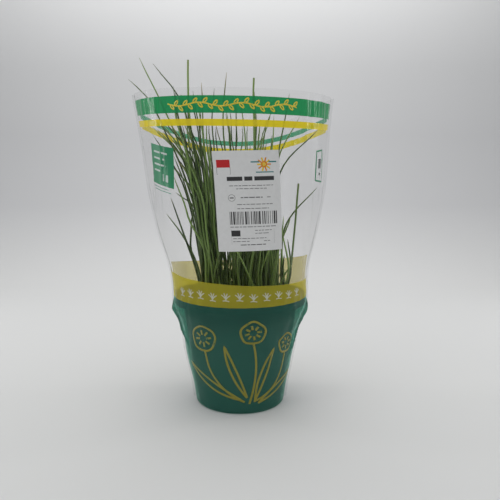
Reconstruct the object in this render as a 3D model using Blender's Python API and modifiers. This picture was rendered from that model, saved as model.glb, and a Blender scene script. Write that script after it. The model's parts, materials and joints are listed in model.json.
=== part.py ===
"""Chives growing in a 12 cm herb pot, standing in the printed film sleeve they are sold in.

Frame: metres, +Z up, origin at the middle of the pot's base, the front with the label towards -Y.
Pieces: pot, potting soil, seven tufts of chive leaves, the sleeve's front and back film, and a paper label.
"""

import math
import random

import bmesh
import bpy
import numpy as np
from mathutils import Vector

MM = 0.001

# Pot: a moulded herb pot with a stepped collar, a raised floor and drainage holes
POT_HEIGHT = 102.0
POT_BASE_RADIUS = 38.0
POT_DRAFT = 0.162
POT_WALL = 1.2
COLLAR_RADIUS = 59.4
COLLAR_HEIGHT = 11.5
FLOOR_RAISE = 2.5
FLOOR_THICKNESS = 1.5
FOOT_WIDTH = 4.0
CENTRE_PAD_RADIUS = 9.0
DRAIN_HOLES = 8
DRAIN_RADIUS = 3.5
DRAIN_CIRCLE = 21.5
POT_STEPS = 48

# Soil: the peat plug that fills the pot, with a plain round hole for each tuft
SOIL_GAP = 0.5
SOIL_EDGE = 96.0
SOIL_MIDDLE = 98.0
SOIL_ROUGHNESS = 2.6
SOIL_LUMP = 9.0
SOIL_STEPS = 36

# Crown: the knot of small bulbs that one tuft of leaves grows from
CROWN_RADIUS = 12.0
CROWN_BOTTOM = 88.0
CROWN_SHOULDER = 97.0
CROWN_TOP = 100.5
CROWN_STEPS = 14
HOLE_RADIUS = 12.6
HOLE_BOTTOM = 87.6

# Leaves: round blades, up to 2.5 mm thick, thinning to the tip
LEAF_ROOT = 93.0
LEAF_RADIUS = 1.25
LEAF_TIP_RADIUS = 0.4
LEAF_RINGS = 6
LEAF_CLEARANCE = 0.35
FILM_CLEARANCE = 3.0
FILM_SAG = 8.0  # how far the print dips below its seam height, at most, where leaves stand near the film
OPEN_EDGE = 4.0  # leaves this near the sleeve's top edge and above are free of it
ROOT_SPREAD = 9.2
WAIST_HEIGHT = 165.0
HEAD_HEIGHT = 250.0
HEAD_REACH = 70.0  # above the head height the tuft goes on opening at a part of its rate below
HEAD_OPENING = 0.7
GIRTH_RANGE = (0.72, 1.05)
TIP_BIAS = 0.8
SWAY_OUT = 5.0
SWAY_SPREAD = 3.5
SWAY_TURN = 0.7
SWAY_BEND = 2.4
TAPER_BEND = 2.5
SEED = 12
TRIES = 90

# Each tuft: name, crown centre, waist centre and radii, head centre and radii, leaves, lowest and highest tip
TUFTS = (
    ("left_front", (-25, -15), (-30, -11), (9.5, 9.5), (-45, -16), (20, 14), 25, (195, 286)),
    ("left_back", (-24, 14), (-30, 11), (9.5, 9.5), (-44, 16), (20, 15), 25, (200, 284)),
    ("middle_front", (4, -25), (5, -26), (14, 10), (5, -26), (18, 11), 20, (132, 215)),
    ("middle", (5, 5), (4, 4), (13, 12), (2, 4), (22, 14), 21, (150, 282)),
    ("middle_back", (2, 33), (4, 33), (14, 11), (6, 38), (22, 14), 18, (150, 278)),
    ("right_front", (34, -13), (24, -13), (9, 11), (19, -14), (9, 12), 18, (128, 212)),
    ("right_back", (30, 18), (23, 20), (10, 11), (22, 26), (12, 14), 18, (136, 272)),
)

# Single leaves that leave their tuft, from the root up: those that lean over the sleeve's edge or against its film
STRAYS = (
    ("left_front", ((-31, -15, 93), (-35, -17, 130), (-38, -18, 170), (-61, -16, 235), (-83, -12, 276), (-98, -10, 290))),
    ("left_back", ((-30, 9, 93), (-38, 2, 170), (-57, 2, 240), (-73, 0, 277), (-90, -2, 311))),
    ("left_back", ((-27, 8, 93), (-32, 1, 165), (-43, 6, 235), (-56, 5, 278), (-78, 2, 307))),
    ("left_front", ((-24, -9, 93), (-29, -4, 165), (-41, -6, 230), (-46, -5, 278), (-46, -5, 308))),
    ("left_back", ((-20, 9, 93), (-26, 2, 165), (-33, 10, 235), (-36, 12, 293))),
    ("left_front", ((-32, -10, 93), (-38, -9, 122), (-45, -5, 140), (-67, -2, 172))),
    ("left_front", ((-33, -19, 93), (-38, -20, 120), (-46, -22, 145), (-60, -20, 186))),
    ("left_back", ((-31, 15, 93), (-38, 19, 125), (-42, 20, 150), (-54, 18, 200), (-80, 6, 245))),
    ("middle", ((3, 1, 93), (-4, -3, 165), (-15, -6, 250), (-12, -6, 297))),
    ("middle", ((9, 8, 93), (12, 10, 165), (13, 8, 250), (12.6, 4, 295))),
    ("middle_back", ((3, 29, 93), (-2, 26, 165), (-4, 26, 240), (-4, 24, 283))),
    ("right_back", ((33, 14, 93), (31, 14, 165), (36, 14, 225), (46, 12, 283))),
    ("right_front", ((39, -12, 93), (45, -11, 120), (49, -11, 160), (52, -12, 199))),
    ("right_front", ((38, -7, 93), (38, -3, 130), (41, 0, 160), (70, 0, 196))),
    ("right_back", ((37, 12, 93), (34, 8, 150), (38, 4, 212), (71, 0, 249))),
    ("right_back", ((36, 21, 93), (38, 24, 160), (38, 24, 228), (56, 22, 264))),
    ("right_front", ((38, -17, 93), (45, -17, 122), (42, -19, 150))),
    ("right_front", ((35, -19, 93), (42, -25, 120), (36, -27, 162))),
)

# Sleeve: two fan-shaped films welded at the sides. Each station is one level of the open sleeve:
# (seam height, half width at the seam, side fullness, half depth, leftward lean,
#  how much lower the print runs at the front's middle and at the back's middle)
FILM_STATIONS = (
    (1.0, 41.0, 39.4, 39.4, 0.0, 0.3, 0.3),
    (18.0, 43.6, 42.2, 42.2, 0.0, 0.6, 0.8),
    (35.0, 47.2, 45.2, 45.0, -0.3, 1.0, 1.2),
    (50.0, 50.2, 48.0, 47.5, -0.5, 1.3, 1.6),
    (65.0, 52.2, 50.8, 50.6, -0.3, 1.6, 2.0),
    (78.0, 56.2, 55.2, 55.2, 0.0, 2.2, 2.6),
    (89.5, 60.6, 60.4, 60.4, 0.0, 2.6, 3.2),
    (101.0, 60.8, 60.6, 60.6, 0.0, 3.0, 4.0),
    (115.0, 61.4, 61.0, 62.4, -0.7, 4.4, 6.0),
    (131.0, 64.0, 62.6, 65.4, -1.8, 6.0, 8.0),
    (148.0, 69.0, 66.0, 66.8, -2.6, 7.2, 9.2),
    (167.0, 73.6, 69.6, 67.8, -3.0, 8.2, 10.4),
    (193.0, 78.6, 72.6, 69.6, -3.4, 9.4, 11.4),
    (218.0, 81.4, 74.2, 72.4, -4.0, 10.4, 12.0),
    (246.0, 84.4, 76.6, 75.8, -5.4, 11.4, 12.4),
    (277.0, 88.4, 79.6, 79.6, -6.6, 12.4, 13.6),
)
FILM_THICKNESS = 0.4
FILM_COLUMNS = 18
ROUND_CONTROL = 0.5523
FLAT_CONTROL = 0.70
FLAT_FROM = 105.0
FLAT_TO = 195.0
LENS_SHARE = 0.8  # how nearly the back panel's upper part, which the pot doesn't hold open, is a flat arc
PRINT_ROLL = 0.018
WELD_WIDTH = 2.5
WELD_OFFSET = 0.6

# Label: a paper sticker on the front film
LABEL_WIDTH = 51.0
LABEL_HEIGHT = 80.0
LABEL_X = 10.2
LABEL_V = 190.7
LABEL_TURN = math.radians(2.2)
LABEL_THICKNESS = 0.3
LABEL_GAP = 0.35
LABEL_GRID = 8

PARTS = "potted_chives"


def clear_scene():
    for thing in list(bpy.data.objects):
        bpy.data.objects.remove(thing)


def collection(name):
    made = bpy.data.collections.new(name)
    bpy.context.scene.collection.children.link(made)
    return made


def finish(name, colour, roughness, alpha=1.0):
    """One plain Principled finish."""
    made = bpy.data.materials.new(name)
    made.use_nodes = True
    shader = made.node_tree.nodes["Principled BSDF"]
    shader.inputs["Base Color"].default_value = (*colour, 1.0)
    shader.inputs["Roughness"].default_value = roughness
    shader.inputs["Metallic"].default_value = 0.0
    shader.inputs["Alpha"].default_value = alpha
    return made


def placed(name, mesh, group, material=None):
    thing = bpy.data.objects.new(name, mesh)
    group.objects.link(thing)
    if material:
        mesh.materials.append(material)
    return thing


def turned(name, outline, steps, group, material=None):
    """A turned solid from an outline of (radius, height) in millimetres that runs down its outer side."""
    mesh = bpy.data.meshes.new(name)
    points = [(radius * MM, 0.0, height * MM) for radius, height in outline]
    mesh.from_pydata(points, [(i, i + 1) for i in range(len(points) - 1)], [])
    thing = placed(name, mesh, group, material)
    screw = thing.modifiers.new("turn", "SCREW")
    screw.axis = "Z"
    screw.steps = steps
    screw.render_steps = steps
    screw.use_merge_vertices = True
    screw.merge_threshold = 0.00001
    screw.use_smooth_shade = True
    return thing


def cutter(name, radius, bottom, top, centre, group, vertices=16):
    """A wire-drawn cylinder that only cuts."""
    bpy.ops.mesh.primitive_cylinder_add(
        vertices=vertices,
        radius=radius * MM,
        depth=(top - bottom) * MM,
        location=(centre[0] * MM, centre[1] * MM, (top + bottom) / 2 * MM),
    )
    thing = bpy.context.object
    thing.name = name
    thing.hide_render = True
    thing.display_type = "WIRE"
    for owner in list(thing.users_collection):
        owner.objects.unlink(thing)
    group.objects.link(thing)
    return thing


def cut_by(thing, cutters):
    modifier = thing.modifiers.new("holes", "BOOLEAN")
    modifier.operation = "DIFFERENCE"
    modifier.operand_type = "COLLECTION"
    modifier.collection = cutters
    modifier.solver = "EXACT"


def wall_radius(height):
    """Outer radius of the pot's body below its collar."""
    return POT_BASE_RADIUS + POT_DRAFT * height


def build_pot(parts, material):
    """A thin moulded wall: up the inside, over the rim, down the outside and under the raised floor."""
    step = POT_HEIGHT - COLLAR_HEIGHT
    floor_top = FLOOR_RAISE + FLOOR_THICKNESS
    rim_inner = COLLAR_RADIUS - 1.3 * POT_WALL
    outline = [
        (0.0, floor_top),
        (wall_radius(floor_top) - POT_WALL - 1.5, floor_top),
        (wall_radius(floor_top) - POT_WALL, floor_top + 1.5),
        (wall_radius(step) - POT_WALL, step + 0.4),
        (rim_inner - 0.2, step + POT_WALL + 0.4),
        (rim_inner, POT_HEIGHT - 0.4),
        (rim_inner + 0.4, POT_HEIGHT),
        (COLLAR_RADIUS - 0.5, POT_HEIGHT),
        (COLLAR_RADIUS, POT_HEIGHT - 0.5),
        (COLLAR_RADIUS - 0.1, step),
        (wall_radius(step), step - 0.6),
        (POT_BASE_RADIUS, 0.0),
        (POT_BASE_RADIUS - FOOT_WIDTH, 0.0),
        (POT_BASE_RADIUS - FOOT_WIDTH - 0.8, FLOOR_RAISE),
        (CENTRE_PAD_RADIUS + 0.8, FLOOR_RAISE),
        (CENTRE_PAD_RADIUS, 0.0),
        (0.0, 0.0),
    ]
    pot = turned("pot", outline, POT_STEPS, parts, material)
    drains = collection("drain_cutters")
    for i in range(DRAIN_HOLES):
        angle = 2 * math.pi * (i + 0.5) / DRAIN_HOLES
        centre = (DRAIN_CIRCLE * math.cos(angle), DRAIN_CIRCLE * math.sin(angle))
        cutter(f"drain_cutter_{i}", DRAIN_RADIUS, FLOOR_RAISE - 2, floor_top + 2, centre, drains, 12)
    cut_by(pot, drains)
    return pot


def build_soil(parts, material):
    """Fills the pot up to its collar. Its top is lumpy, and each tuft stands in a plain hole."""
    step = POT_HEIGHT - COLLAR_HEIGHT + POT_WALL + 0.4
    bottom = FLOOR_RAISE + FLOOR_THICKNESS + SOIL_GAP
    inner = POT_WALL + SOIL_GAP
    edge = COLLAR_RADIUS - 1.3 * POT_WALL - 0.2 - SOIL_GAP
    top_radii = (0.0, 9.0, 18.0, 27.0, 36.0, 45.0, 52.0)
    outline = [
        (radius, SOIL_MIDDLE - (SOIL_MIDDLE - SOIL_EDGE) * (radius / edge) ** 2) for radius in top_radii
    ]
    outline += [
        (edge, SOIL_EDGE),
        (edge, step + SOIL_GAP),
        (wall_radius(step) - inner - 0.4, step + SOIL_GAP - 0.4),
        (wall_radius(bottom + 2.0) - inner, bottom + 2.0),
        (wall_radius(bottom) - inner - 2.0, bottom),
        (0.0, bottom),
    ]
    soil = turned("soil", outline, SOIL_STEPS, parts, material)
    surface = soil.vertex_groups.new(name="surface")
    surface.add(list(range(len(top_radii))), 1.0, "REPLACE")
    lumps = bpy.data.textures.new("soil_lumps", "CLOUDS")
    lumps.noise_scale = SOIL_LUMP * MM
    rough = soil.modifiers.new("lumps", "DISPLACE")
    rough.texture = lumps
    rough.texture_coords = "LOCAL"
    rough.direction = "Z"
    rough.vertex_group = "surface"
    rough.strength = SOIL_ROUGHNESS * MM
    holes = collection("hole_cutters")
    for tuft in TUFTS:
        cutter(f"hole_{tuft[0]}", HOLE_RADIUS, HOLE_BOTTOM, SOIL_MIDDLE + 9, tuft[1], holes, 18)
    cut_by(soil, holes)
    return soil


def film_level(height):
    """The sleeve's measures at one seam height, read smoothly between the stations."""
    rows = np.array(FILM_STATIONS)
    heights = rows[:, 0]
    slopes = np.gradient(rows, heights, axis=0)
    i = int(np.clip(np.searchsorted(heights, height) - 1, 0, len(rows) - 2))
    span = heights[i + 1] - heights[i]
    t = (height - heights[i]) / span
    return (
        (2 * t**3 - 3 * t**2 + 1) * rows[i]
        + (t**3 - 2 * t**2 + t) * span * slopes[i]
        + (3 * t**2 - 2 * t**3) * rows[i + 1]
        + (t**3 - t**2) * span * slopes[i + 1]
    )


def ramp(value, low, high):
    t = min(max((value - low) / (high - low), 0.0), 1.0)
    return t * t * (3 - 2 * t)


def film_point(front, u, height):
    """A point of the outer film. u runs from -1 at the left seam through 0 at the panel's middle to 1."""
    _, seam, side, depth, lean, dip_front, dip_back = film_level(height)
    t = min(abs(u), 1.0)
    control = ROUND_CONTROL + (FLAT_CONTROL - ROUND_CONTROL) * ramp(height, FLAT_FROM, FLAT_TO)
    lens = 0.0 if front else LENS_SHARE * ramp(height, FLAT_FROM, FLAT_TO)
    control += (1 / 3 - control) * lens
    side += (2 / 3 * seam - side) * lens
    fullness = ROUND_CONTROL + (2 / 3 - ROUND_CONTROL) * lens
    along = 3 * (1 - t) ** 2 * t * control * seam + 3 * (1 - t) * t**2 * side + t**3 * seam
    across = (1 - t) ** 3 * depth + 3 * (1 - t) ** 2 * t * depth + 3 * (1 - t) * t**2 * fullness * depth
    x = lean + math.copysign(along + WELD_WIDTH * max(abs(u) - 1.0, 0.0), u)
    y = across + WELD_OFFSET
    dip = (dip_front if front else dip_back) * (1 - t * t)
    z = height - dip - PRINT_ROLL * x * ramp(height, 95.0, 131.0)
    return Vector((x, -y if front else y, z)) * MM


def build_film(front, parts, material):
    """One welded panel: a loft between the stations, with its flat weld flange past each seam."""
    grid = bmesh.new()
    us = [-2.0, *np.linspace(-1, 1, FILM_COLUMNS + 1), 2.0]
    rows = [[grid.verts.new(film_point(front, u, station[0])) for u in us] for station in FILM_STATIONS]
    for low, high in zip(rows, rows[1:]):
        for i in range(len(us) - 1):
            corners = (low[i], low[i + 1], high[i + 1], high[i])
            grid.faces.new(corners if front else corners[::-1])
    bmesh.ops.triangulate(grid, faces=grid.faces[:])
    mesh = bpy.data.meshes.new("film")
    grid.to_mesh(mesh)
    grid.free()
    mesh.shade_smooth()
    film = placed("sleeve_front" if front else "sleeve_back", mesh, parts, material)
    wall = film.modifiers.new("wall", "SOLIDIFY")
    wall.thickness = FILM_THICKNESS * MM
    wall.offset = -1.0
    return film


def film_spot(x, height):
    """A point and outward normal on the front film, x millimetres along the film from its middle."""
    us = np.linspace(0, math.copysign(1.0, x), 41)
    points = [film_point(True, u, height) for u in us]
    run = np.cumsum([0.0] + [(b - a).length for a, b in zip(points, points[1:])])
    u = float(np.interp(abs(x) * MM, run, us))
    here = film_point(True, u, height)
    side = film_point(True, u + 0.01, height) - here
    up = film_point(True, u, height + 0.5) - here
    return here, side.cross(up).normalized()


def build_label(parts, material):
    """The sticker follows the film, a hair in front of it."""
    grid = bmesh.new()
    turn = (math.cos(LABEL_TURN), math.sin(LABEL_TURN))
    rows = []
    for j in range(LABEL_GRID + 1):
        row = []
        for i in range(LABEL_GRID + 1):
            along = (i / LABEL_GRID - 0.5) * LABEL_WIDTH
            up = (j / LABEL_GRID - 0.5) * LABEL_HEIGHT
            x = LABEL_X + along * turn[0] - up * turn[1]
            height = LABEL_V + along * turn[1] + up * turn[0]
            here, normal = film_spot(x, height)
            row.append(grid.verts.new(here + normal * (LABEL_GAP + LABEL_THICKNESS) * MM))
        rows.append(row)
    for low, high in zip(rows, rows[1:]):
        for i in range(LABEL_GRID):
            grid.faces.new((low[i], low[i + 1], high[i + 1], high[i]))
    bmesh.ops.triangulate(grid, faces=grid.faces[:])
    mesh = bpy.data.meshes.new("label")
    grid.to_mesh(mesh)
    grid.free()
    mesh.shade_smooth()
    label = placed("label", mesh, parts, material)
    paper = label.modifiers.new("paper", "SOLIDIFY")
    paper.thickness = LABEL_THICKNESS * MM
    paper.offset = -1.0
    return label


def smooth_path(guides, count):
    """count points, evenly spaced along a smooth curve through the guide points."""
    points = np.array(guides, float)
    steps = np.linalg.norm(np.diff(points, axis=0), axis=1)
    run = np.concatenate([[0.0], np.cumsum(steps)])
    slopes = np.gradient(points, run, axis=0)
    places = []
    for s in np.linspace(0, run[-1], count):
        i = int(np.clip(np.searchsorted(run, s) - 1, 0, len(run) - 2))
        t = (s - run[i]) / steps[i]
        places.append(
            (2 * t**3 - 3 * t**2 + 1) * points[i]
            + (t**3 - 2 * t**2 + t) * steps[i] * slopes[i]
            + (3 * t**2 - 2 * t**3) * points[i + 1]
            + (t**3 - t**2) * steps[i] * slopes[i + 1]
        )
    return np.array(places)


def path_gap(path, others):
    """The least distance between one path and any of the others, all as chains of straight pieces."""
    p, d1 = path[:-1, None], (path[1:] - path[:-1])[:, None]
    q = np.concatenate([other[:-1] for other in others])[None]
    d2 = np.concatenate([other[1:] - other[:-1] for other in others])[None]
    r = p - q
    a, e = (d1 * d1).sum(-1), (d2 * d2).sum(-1)
    b, c, f = (d1 * d2).sum(-1), (d1 * r).sum(-1), (d2 * r).sum(-1)
    spread = np.maximum(a * e - b * b, 1e-9)
    s = np.clip((b * f - c * e) / spread, 0, 1)
    t = np.clip((b * s + f) / e, 0, 1)
    s = np.clip((b * t - c) / a, 0, 1)
    apart = r + d1 * s[..., None] - d2 * t[..., None]
    return float(np.sqrt((apart * apart).sum(-1)).min())


def inside_film(path):
    """True if the path keeps clear of the sleeve's wall below its open edge."""
    heights, seams, _, depths, leans, _, _ = np.array(FILM_STATIONS).T
    x, y, z = path[path[:, 2] < heights[-1] - OPEN_EDGE].T
    reach_x = np.interp(z + FILM_SAG, heights, seams) - FILM_CLEARANCE
    reach_y = np.interp(z + FILM_SAG, heights, depths) - FILM_CLEARANCE
    lean = np.interp(z + FILM_SAG, heights, leans)
    power = np.where(y > 0, 2 - LENS_SHARE * np.interp(z, (FLAT_FROM, FLAT_TO), (0, 1)), 2)
    return bool((((x - lean) / reach_x) ** 2 + (np.abs(y) / reach_y) ** power < 1).all())


def bundle(tuft, s, t, height):
    """Where a leaf at (s, t) of its tuft's unit disc stands at one height: no two such leaves cross."""
    _, crown, waist, waist_radii, head, head_radii, _, _ = tuft
    heights = np.array([LEAF_ROOT, WAIST_HEIGHT, HEAD_HEIGHT, HEAD_HEIGHT + HEAD_REACH])
    rows = np.array([(*crown, ROOT_SPREAD, ROOT_SPREAD), (*waist, *waist_radii), (*head, *head_radii)])
    rows = np.vstack([rows, rows[2] + HEAD_OPENING * (rows[2] - rows[1])])
    slopes = np.gradient(rows, heights, axis=0)
    i = int(np.clip(np.searchsorted(heights, height) - 1, 0, 2))
    span = heights[i + 1] - heights[i]
    k = (height - heights[i]) / span
    row = (
        (2 * k**3 - 3 * k**2 + 1) * rows[i]
        + (k**3 - 2 * k**2 + k) * span * slopes[i]
        + (3 * k**2 - 2 * k**3) * rows[i + 1]
        + (k**3 - k**2) * span * slopes[i + 1]
    )
    return np.array([row[0] + row[2] * s, row[1] + row[3] * t, height])


def plan_leaves():
    """Every leaf as (tuft name, guide points, radius), none crossing another or the film."""
    draw = random.Random(SEED)
    leaves = [(name, np.array(guides, float), LEAF_RADIUS) for name, guides in STRAYS]
    paths = [smooth_path(guides, LEAF_RINGS) for _, guides, _ in leaves]
    for tuft in TUFTS:
        low, high = tuft[7]
        for _ in range(tuft[6]):
            for _ in range(TRIES):
                angle, out = draw.uniform(0, 2 * math.pi), math.sqrt(draw.random())
                s, t = out * math.cos(angle), out * math.sin(angle)
                tip = low + (high - low) * draw.random() ** TIP_BIAS
                sway = SWAY_OUT * out + draw.gauss(0, SWAY_SPREAD)
                turn = angle + draw.gauss(0, SWAY_TURN)
                radius = LEAF_RADIUS * draw.uniform(*GIRTH_RANGE)
                guides = []
                for share in (0, 0.25, 0.5, 0.75, 1):
                    place = bundle(tuft, s, t, LEAF_ROOT + (tip - LEAF_ROOT) * share)
                    place += np.array([math.cos(turn), math.sin(turn), 0]) * sway * share**SWAY_BEND
                    guides.append(place)
                path = smooth_path(guides, LEAF_RINGS)
                if inside_film(path) and path_gap(path, paths) > 2 * LEAF_RADIUS + LEAF_CLEARANCE:
                    leaves.append((tuft[0], np.array(guides), radius))
                    paths.append(path)
                    break
    return leaves


def leaf_blade(name, guides, radius, group):
    """One tapered blade: a poly curve with a square bevel, made a mesh with its caps welded."""
    path = smooth_path(guides, LEAF_RINGS)
    curve = bpy.data.curves.new(name, "CURVE")
    curve.dimensions = "3D"
    curve.bevel_depth = radius * MM
    curve.bevel_resolution = 0
    curve.use_fill_caps = True
    line = curve.splines.new("POLY")
    line.points.add(len(path) - 1)
    for i, (point, place) in enumerate(zip(line.points, path)):
        share = i / (len(path) - 1)
        point.co = (*(place * MM), 1.0)
        point.radius = 1.0 - (1.0 - LEAF_TIP_RADIUS / radius) * share**TAPER_BEND
    guide = bpy.data.objects.new(name, curve)
    group.objects.link(guide)
    bpy.context.view_layer.update()
    mesh = bpy.data.meshes.new_from_object(guide.evaluated_get(bpy.context.evaluated_depsgraph_get()))
    bpy.data.objects.remove(guide)
    welded = bmesh.new()
    welded.from_mesh(mesh)
    bmesh.ops.remove_doubles(welded, verts=welded.verts, dist=0.00001)
    welded.to_mesh(mesh)
    welded.free()
    return placed(name, mesh, group)


def build_tuft(tuft, leaves, parts, material):
    """A crown of bulbs with its leaves fused in at their roots."""
    name = "chives_" + tuft[0]
    blades = collection(name + "_blades")
    for i, (_, guides, radius) in enumerate(leaves):
        leaf_blade(f"{name}_blade_{i}", guides, radius, blades)
    outline = [
        (0.0, CROWN_TOP),
        (0.55 * CROWN_RADIUS, CROWN_TOP - 0.9),
        (0.9 * CROWN_RADIUS, CROWN_SHOULDER),
        (CROWN_RADIUS, CROWN_SHOULDER - 3),
        (0.9 * CROWN_RADIUS, CROWN_BOTTOM),
        (0.0, CROWN_BOTTOM),
    ]
    crown = turned(name + "_crown", outline, CROWN_STEPS, parts)
    crown.location = (tuft[1][0] * MM, tuft[1][1] * MM, 0.0)
    join = crown.modifiers.new("join", "BOOLEAN")
    join.operation = "UNION"
    join.operand_type = "COLLECTION"
    join.collection = blades
    join.solver = "MANIFOLD"
    bpy.context.view_layer.update()
    mesh = bpy.data.meshes.new_from_object(crown.evaluated_get(bpy.context.evaluated_depsgraph_get()))
    mesh.materials.clear()
    grown = placed(name, mesh, parts, material)
    grown.matrix_world = crown.matrix_world
    bpy.data.objects.remove(crown)
    for blade in list(blades.objects):
        bpy.data.objects.remove(blade)
    bpy.data.collections.remove(blades)
    return grown


def main():
    clear_scene()
    parts = collection(PARTS)
    leaf = finish("chive_leaf", (0.07, 0.16, 0.035), 0.45)
    leaves = plan_leaves()
    for tuft in TUFTS:
        build_tuft(tuft, [one for one in leaves if one[0] == tuft[0]], parts, leaf)
    build_pot(parts, finish("pot_plastic", (0.03, 0.03, 0.032), 0.5))
    build_soil(parts, finish("peat_soil", (0.05, 0.033, 0.022), 0.95))
    film = finish("printed_film", (0.75, 0.78, 0.76), 0.15, 0.35)
    build_film(True, parts, film)
    build_film(False, parts, film)
    build_label(parts, finish("label_paper", (0.7, 0.7, 0.7), 0.6))


main()
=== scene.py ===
import json
import math
import random

import bmesh
import bpy
import numpy as np
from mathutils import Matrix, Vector, noise

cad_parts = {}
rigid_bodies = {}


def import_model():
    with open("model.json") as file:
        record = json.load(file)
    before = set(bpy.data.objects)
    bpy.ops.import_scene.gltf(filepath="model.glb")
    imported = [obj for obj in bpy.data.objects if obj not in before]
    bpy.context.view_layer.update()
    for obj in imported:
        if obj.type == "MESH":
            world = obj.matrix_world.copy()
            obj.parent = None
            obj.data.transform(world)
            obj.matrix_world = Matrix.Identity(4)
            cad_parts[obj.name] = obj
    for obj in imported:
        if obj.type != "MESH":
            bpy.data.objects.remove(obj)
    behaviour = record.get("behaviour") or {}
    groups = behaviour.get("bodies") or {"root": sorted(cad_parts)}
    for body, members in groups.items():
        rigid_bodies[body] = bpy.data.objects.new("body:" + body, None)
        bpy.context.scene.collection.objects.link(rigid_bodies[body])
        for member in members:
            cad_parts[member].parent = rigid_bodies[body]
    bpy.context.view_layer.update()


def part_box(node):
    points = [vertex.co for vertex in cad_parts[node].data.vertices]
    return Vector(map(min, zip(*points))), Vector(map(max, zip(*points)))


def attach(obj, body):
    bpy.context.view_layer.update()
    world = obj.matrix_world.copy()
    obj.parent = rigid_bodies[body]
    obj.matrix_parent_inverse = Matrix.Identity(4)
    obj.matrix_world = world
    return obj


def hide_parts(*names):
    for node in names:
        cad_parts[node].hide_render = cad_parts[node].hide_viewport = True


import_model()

MM = 0.001


# Pot: a 12 cm herb pot, injection moulded in black polypropylene, with a stepped collar for stacking.
# It is one thin turned wall on a raised floor with drainage holes. Its skin is satin, with a fine moulded
# grain, and dusty with peat in random smears.

pot_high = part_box("pot")[1]
POT_HEIGHT = pot_high.z / MM
COLLAR_RADIUS = pot_high.x / MM
COLLAR_HEIGHT = 11.5
POT_BASE_RADIUS = 38.0
POT_DRAFT = 0.162
POT_WALL = 1.2
POT_STEPS = 120
FLOOR_RAISE = 2.5
FLOOR_TOP = 4.0
DRAIN_HOLES = 8
DRAIN_RADIUS = 3.5
DRAIN_CIRCLE = 21.5
POT_BLACK = "#26282a"
PEAT_DUST = "#4a3a2b"
GRAIN_SIZE = 0.9


def srgb(code):
    """A hex colour as the linear values that Blender works in."""
    values = [int(code[i : i + 2], 16) / 255 for i in (1, 3, 5)]
    return (*(v / 12.92 if v <= 0.04045 else ((v + 0.055) / 1.055) ** 2.4 for v in values), 1.0)


def add(tree, kind, inputs=(), **settings):
    """Adds a node with its settings. Each input is a plain value, or the socket or node that feeds it."""
    node = tree.nodes.new(kind)
    for name, value in settings.items():
        setattr(node, name, value)
    for socket, value in dict(inputs).items():
        if isinstance(value, bpy.types.Node):
            value = value.outputs[2 if getattr(value, "data_type", "") == "RGBA" else 0]
        if isinstance(value, bpy.types.NodeSocket):
            tree.links.new(value, node.inputs[socket])
        else:
            node.inputs[socket].default_value = value
    return node


def new_material(name):
    """An empty material, its node tree and the object's coordinates in metres."""
    material = bpy.data.materials.new(name)
    material.use_nodes = True
    tree = material.node_tree
    tree.nodes.clear()
    return material, tree, add(tree, "ShaderNodeTexCoord").outputs["Object"]


def coat(tree, skin, cover=None, seen=None):
    """The material's end: one skin. Where it covers only in part, the rest is clear and tinted as seen."""
    surface = add(tree, "ShaderNodeBsdfPrincipled", skin)
    if cover is not None:
        clear_sheet = add(tree, "ShaderNodeBsdfTransparent", {"Color": seen})
        surface = add(tree, "ShaderNodeMixShader", {0: cover, 1: clear_sheet, 2: surface})
    add(tree, "ShaderNodeOutputMaterial", {"Surface": surface})


def show(name, mesh, *materials):
    """Puts a mesh in the scene as a piece with these materials."""
    piece = bpy.data.objects.new(name, mesh)
    bpy.context.scene.collection.objects.link(piece)
    for material in materials:
        mesh.materials.append(material)
    return piece


def settle(piece, slot, *nodes):
    """Every piece here is carried by the one body, and stands for the CAD nodes that are named."""
    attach(piece, "root")
    if nodes:
        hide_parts(*nodes)


def plain_mesh(piece):
    """Applies a piece's modifiers, so that its form is all in its mesh."""
    depsgraph = bpy.context.evaluated_depsgraph_get()
    made = bpy.data.meshes.new_from_object(
        piece.evaluated_get(depsgraph), preserve_all_data_layers=True, depsgraph=depsgraph
    )
    piece.modifiers.clear()
    piece.data = made
    return piece


def walled(piece, thickness, inner=0):
    """An open sheet made solid inwards, its inner side and rim in the material that many places on."""
    wall = piece.modifiers.new("wall", "SOLIDIFY")
    wall.thickness = thickness * MM
    wall.offset = -1.0
    wall.material_offset = inner
    wall.material_offset_rim = inner
    return plain_mesh(piece)


def chains(name, paths):
    """A mesh of one chain of edges through the points of each path."""
    places, edges = [], []
    for path in paths:
        edges += [(len(places) + i, len(places) + i + 1) for i in range(len(path) - 1)]
        places += path
    mesh = bpy.data.meshes.new(name)
    mesh.from_pydata(places, edges, [])
    return mesh


def turned(name, outline, steps, material):
    """A turned piece from (radius, height) points in millimetres that run down its outer side."""
    path = [(radius * MM, 0.0, height * MM) for radius, height in outline]
    piece = show(name, chains(name, [path]), material)
    screw = piece.modifiers.new("turn", "SCREW")
    screw.steps = steps
    screw.render_steps = steps
    screw.use_merge_vertices = True
    screw.merge_threshold = 0.00001
    return piece


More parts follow.
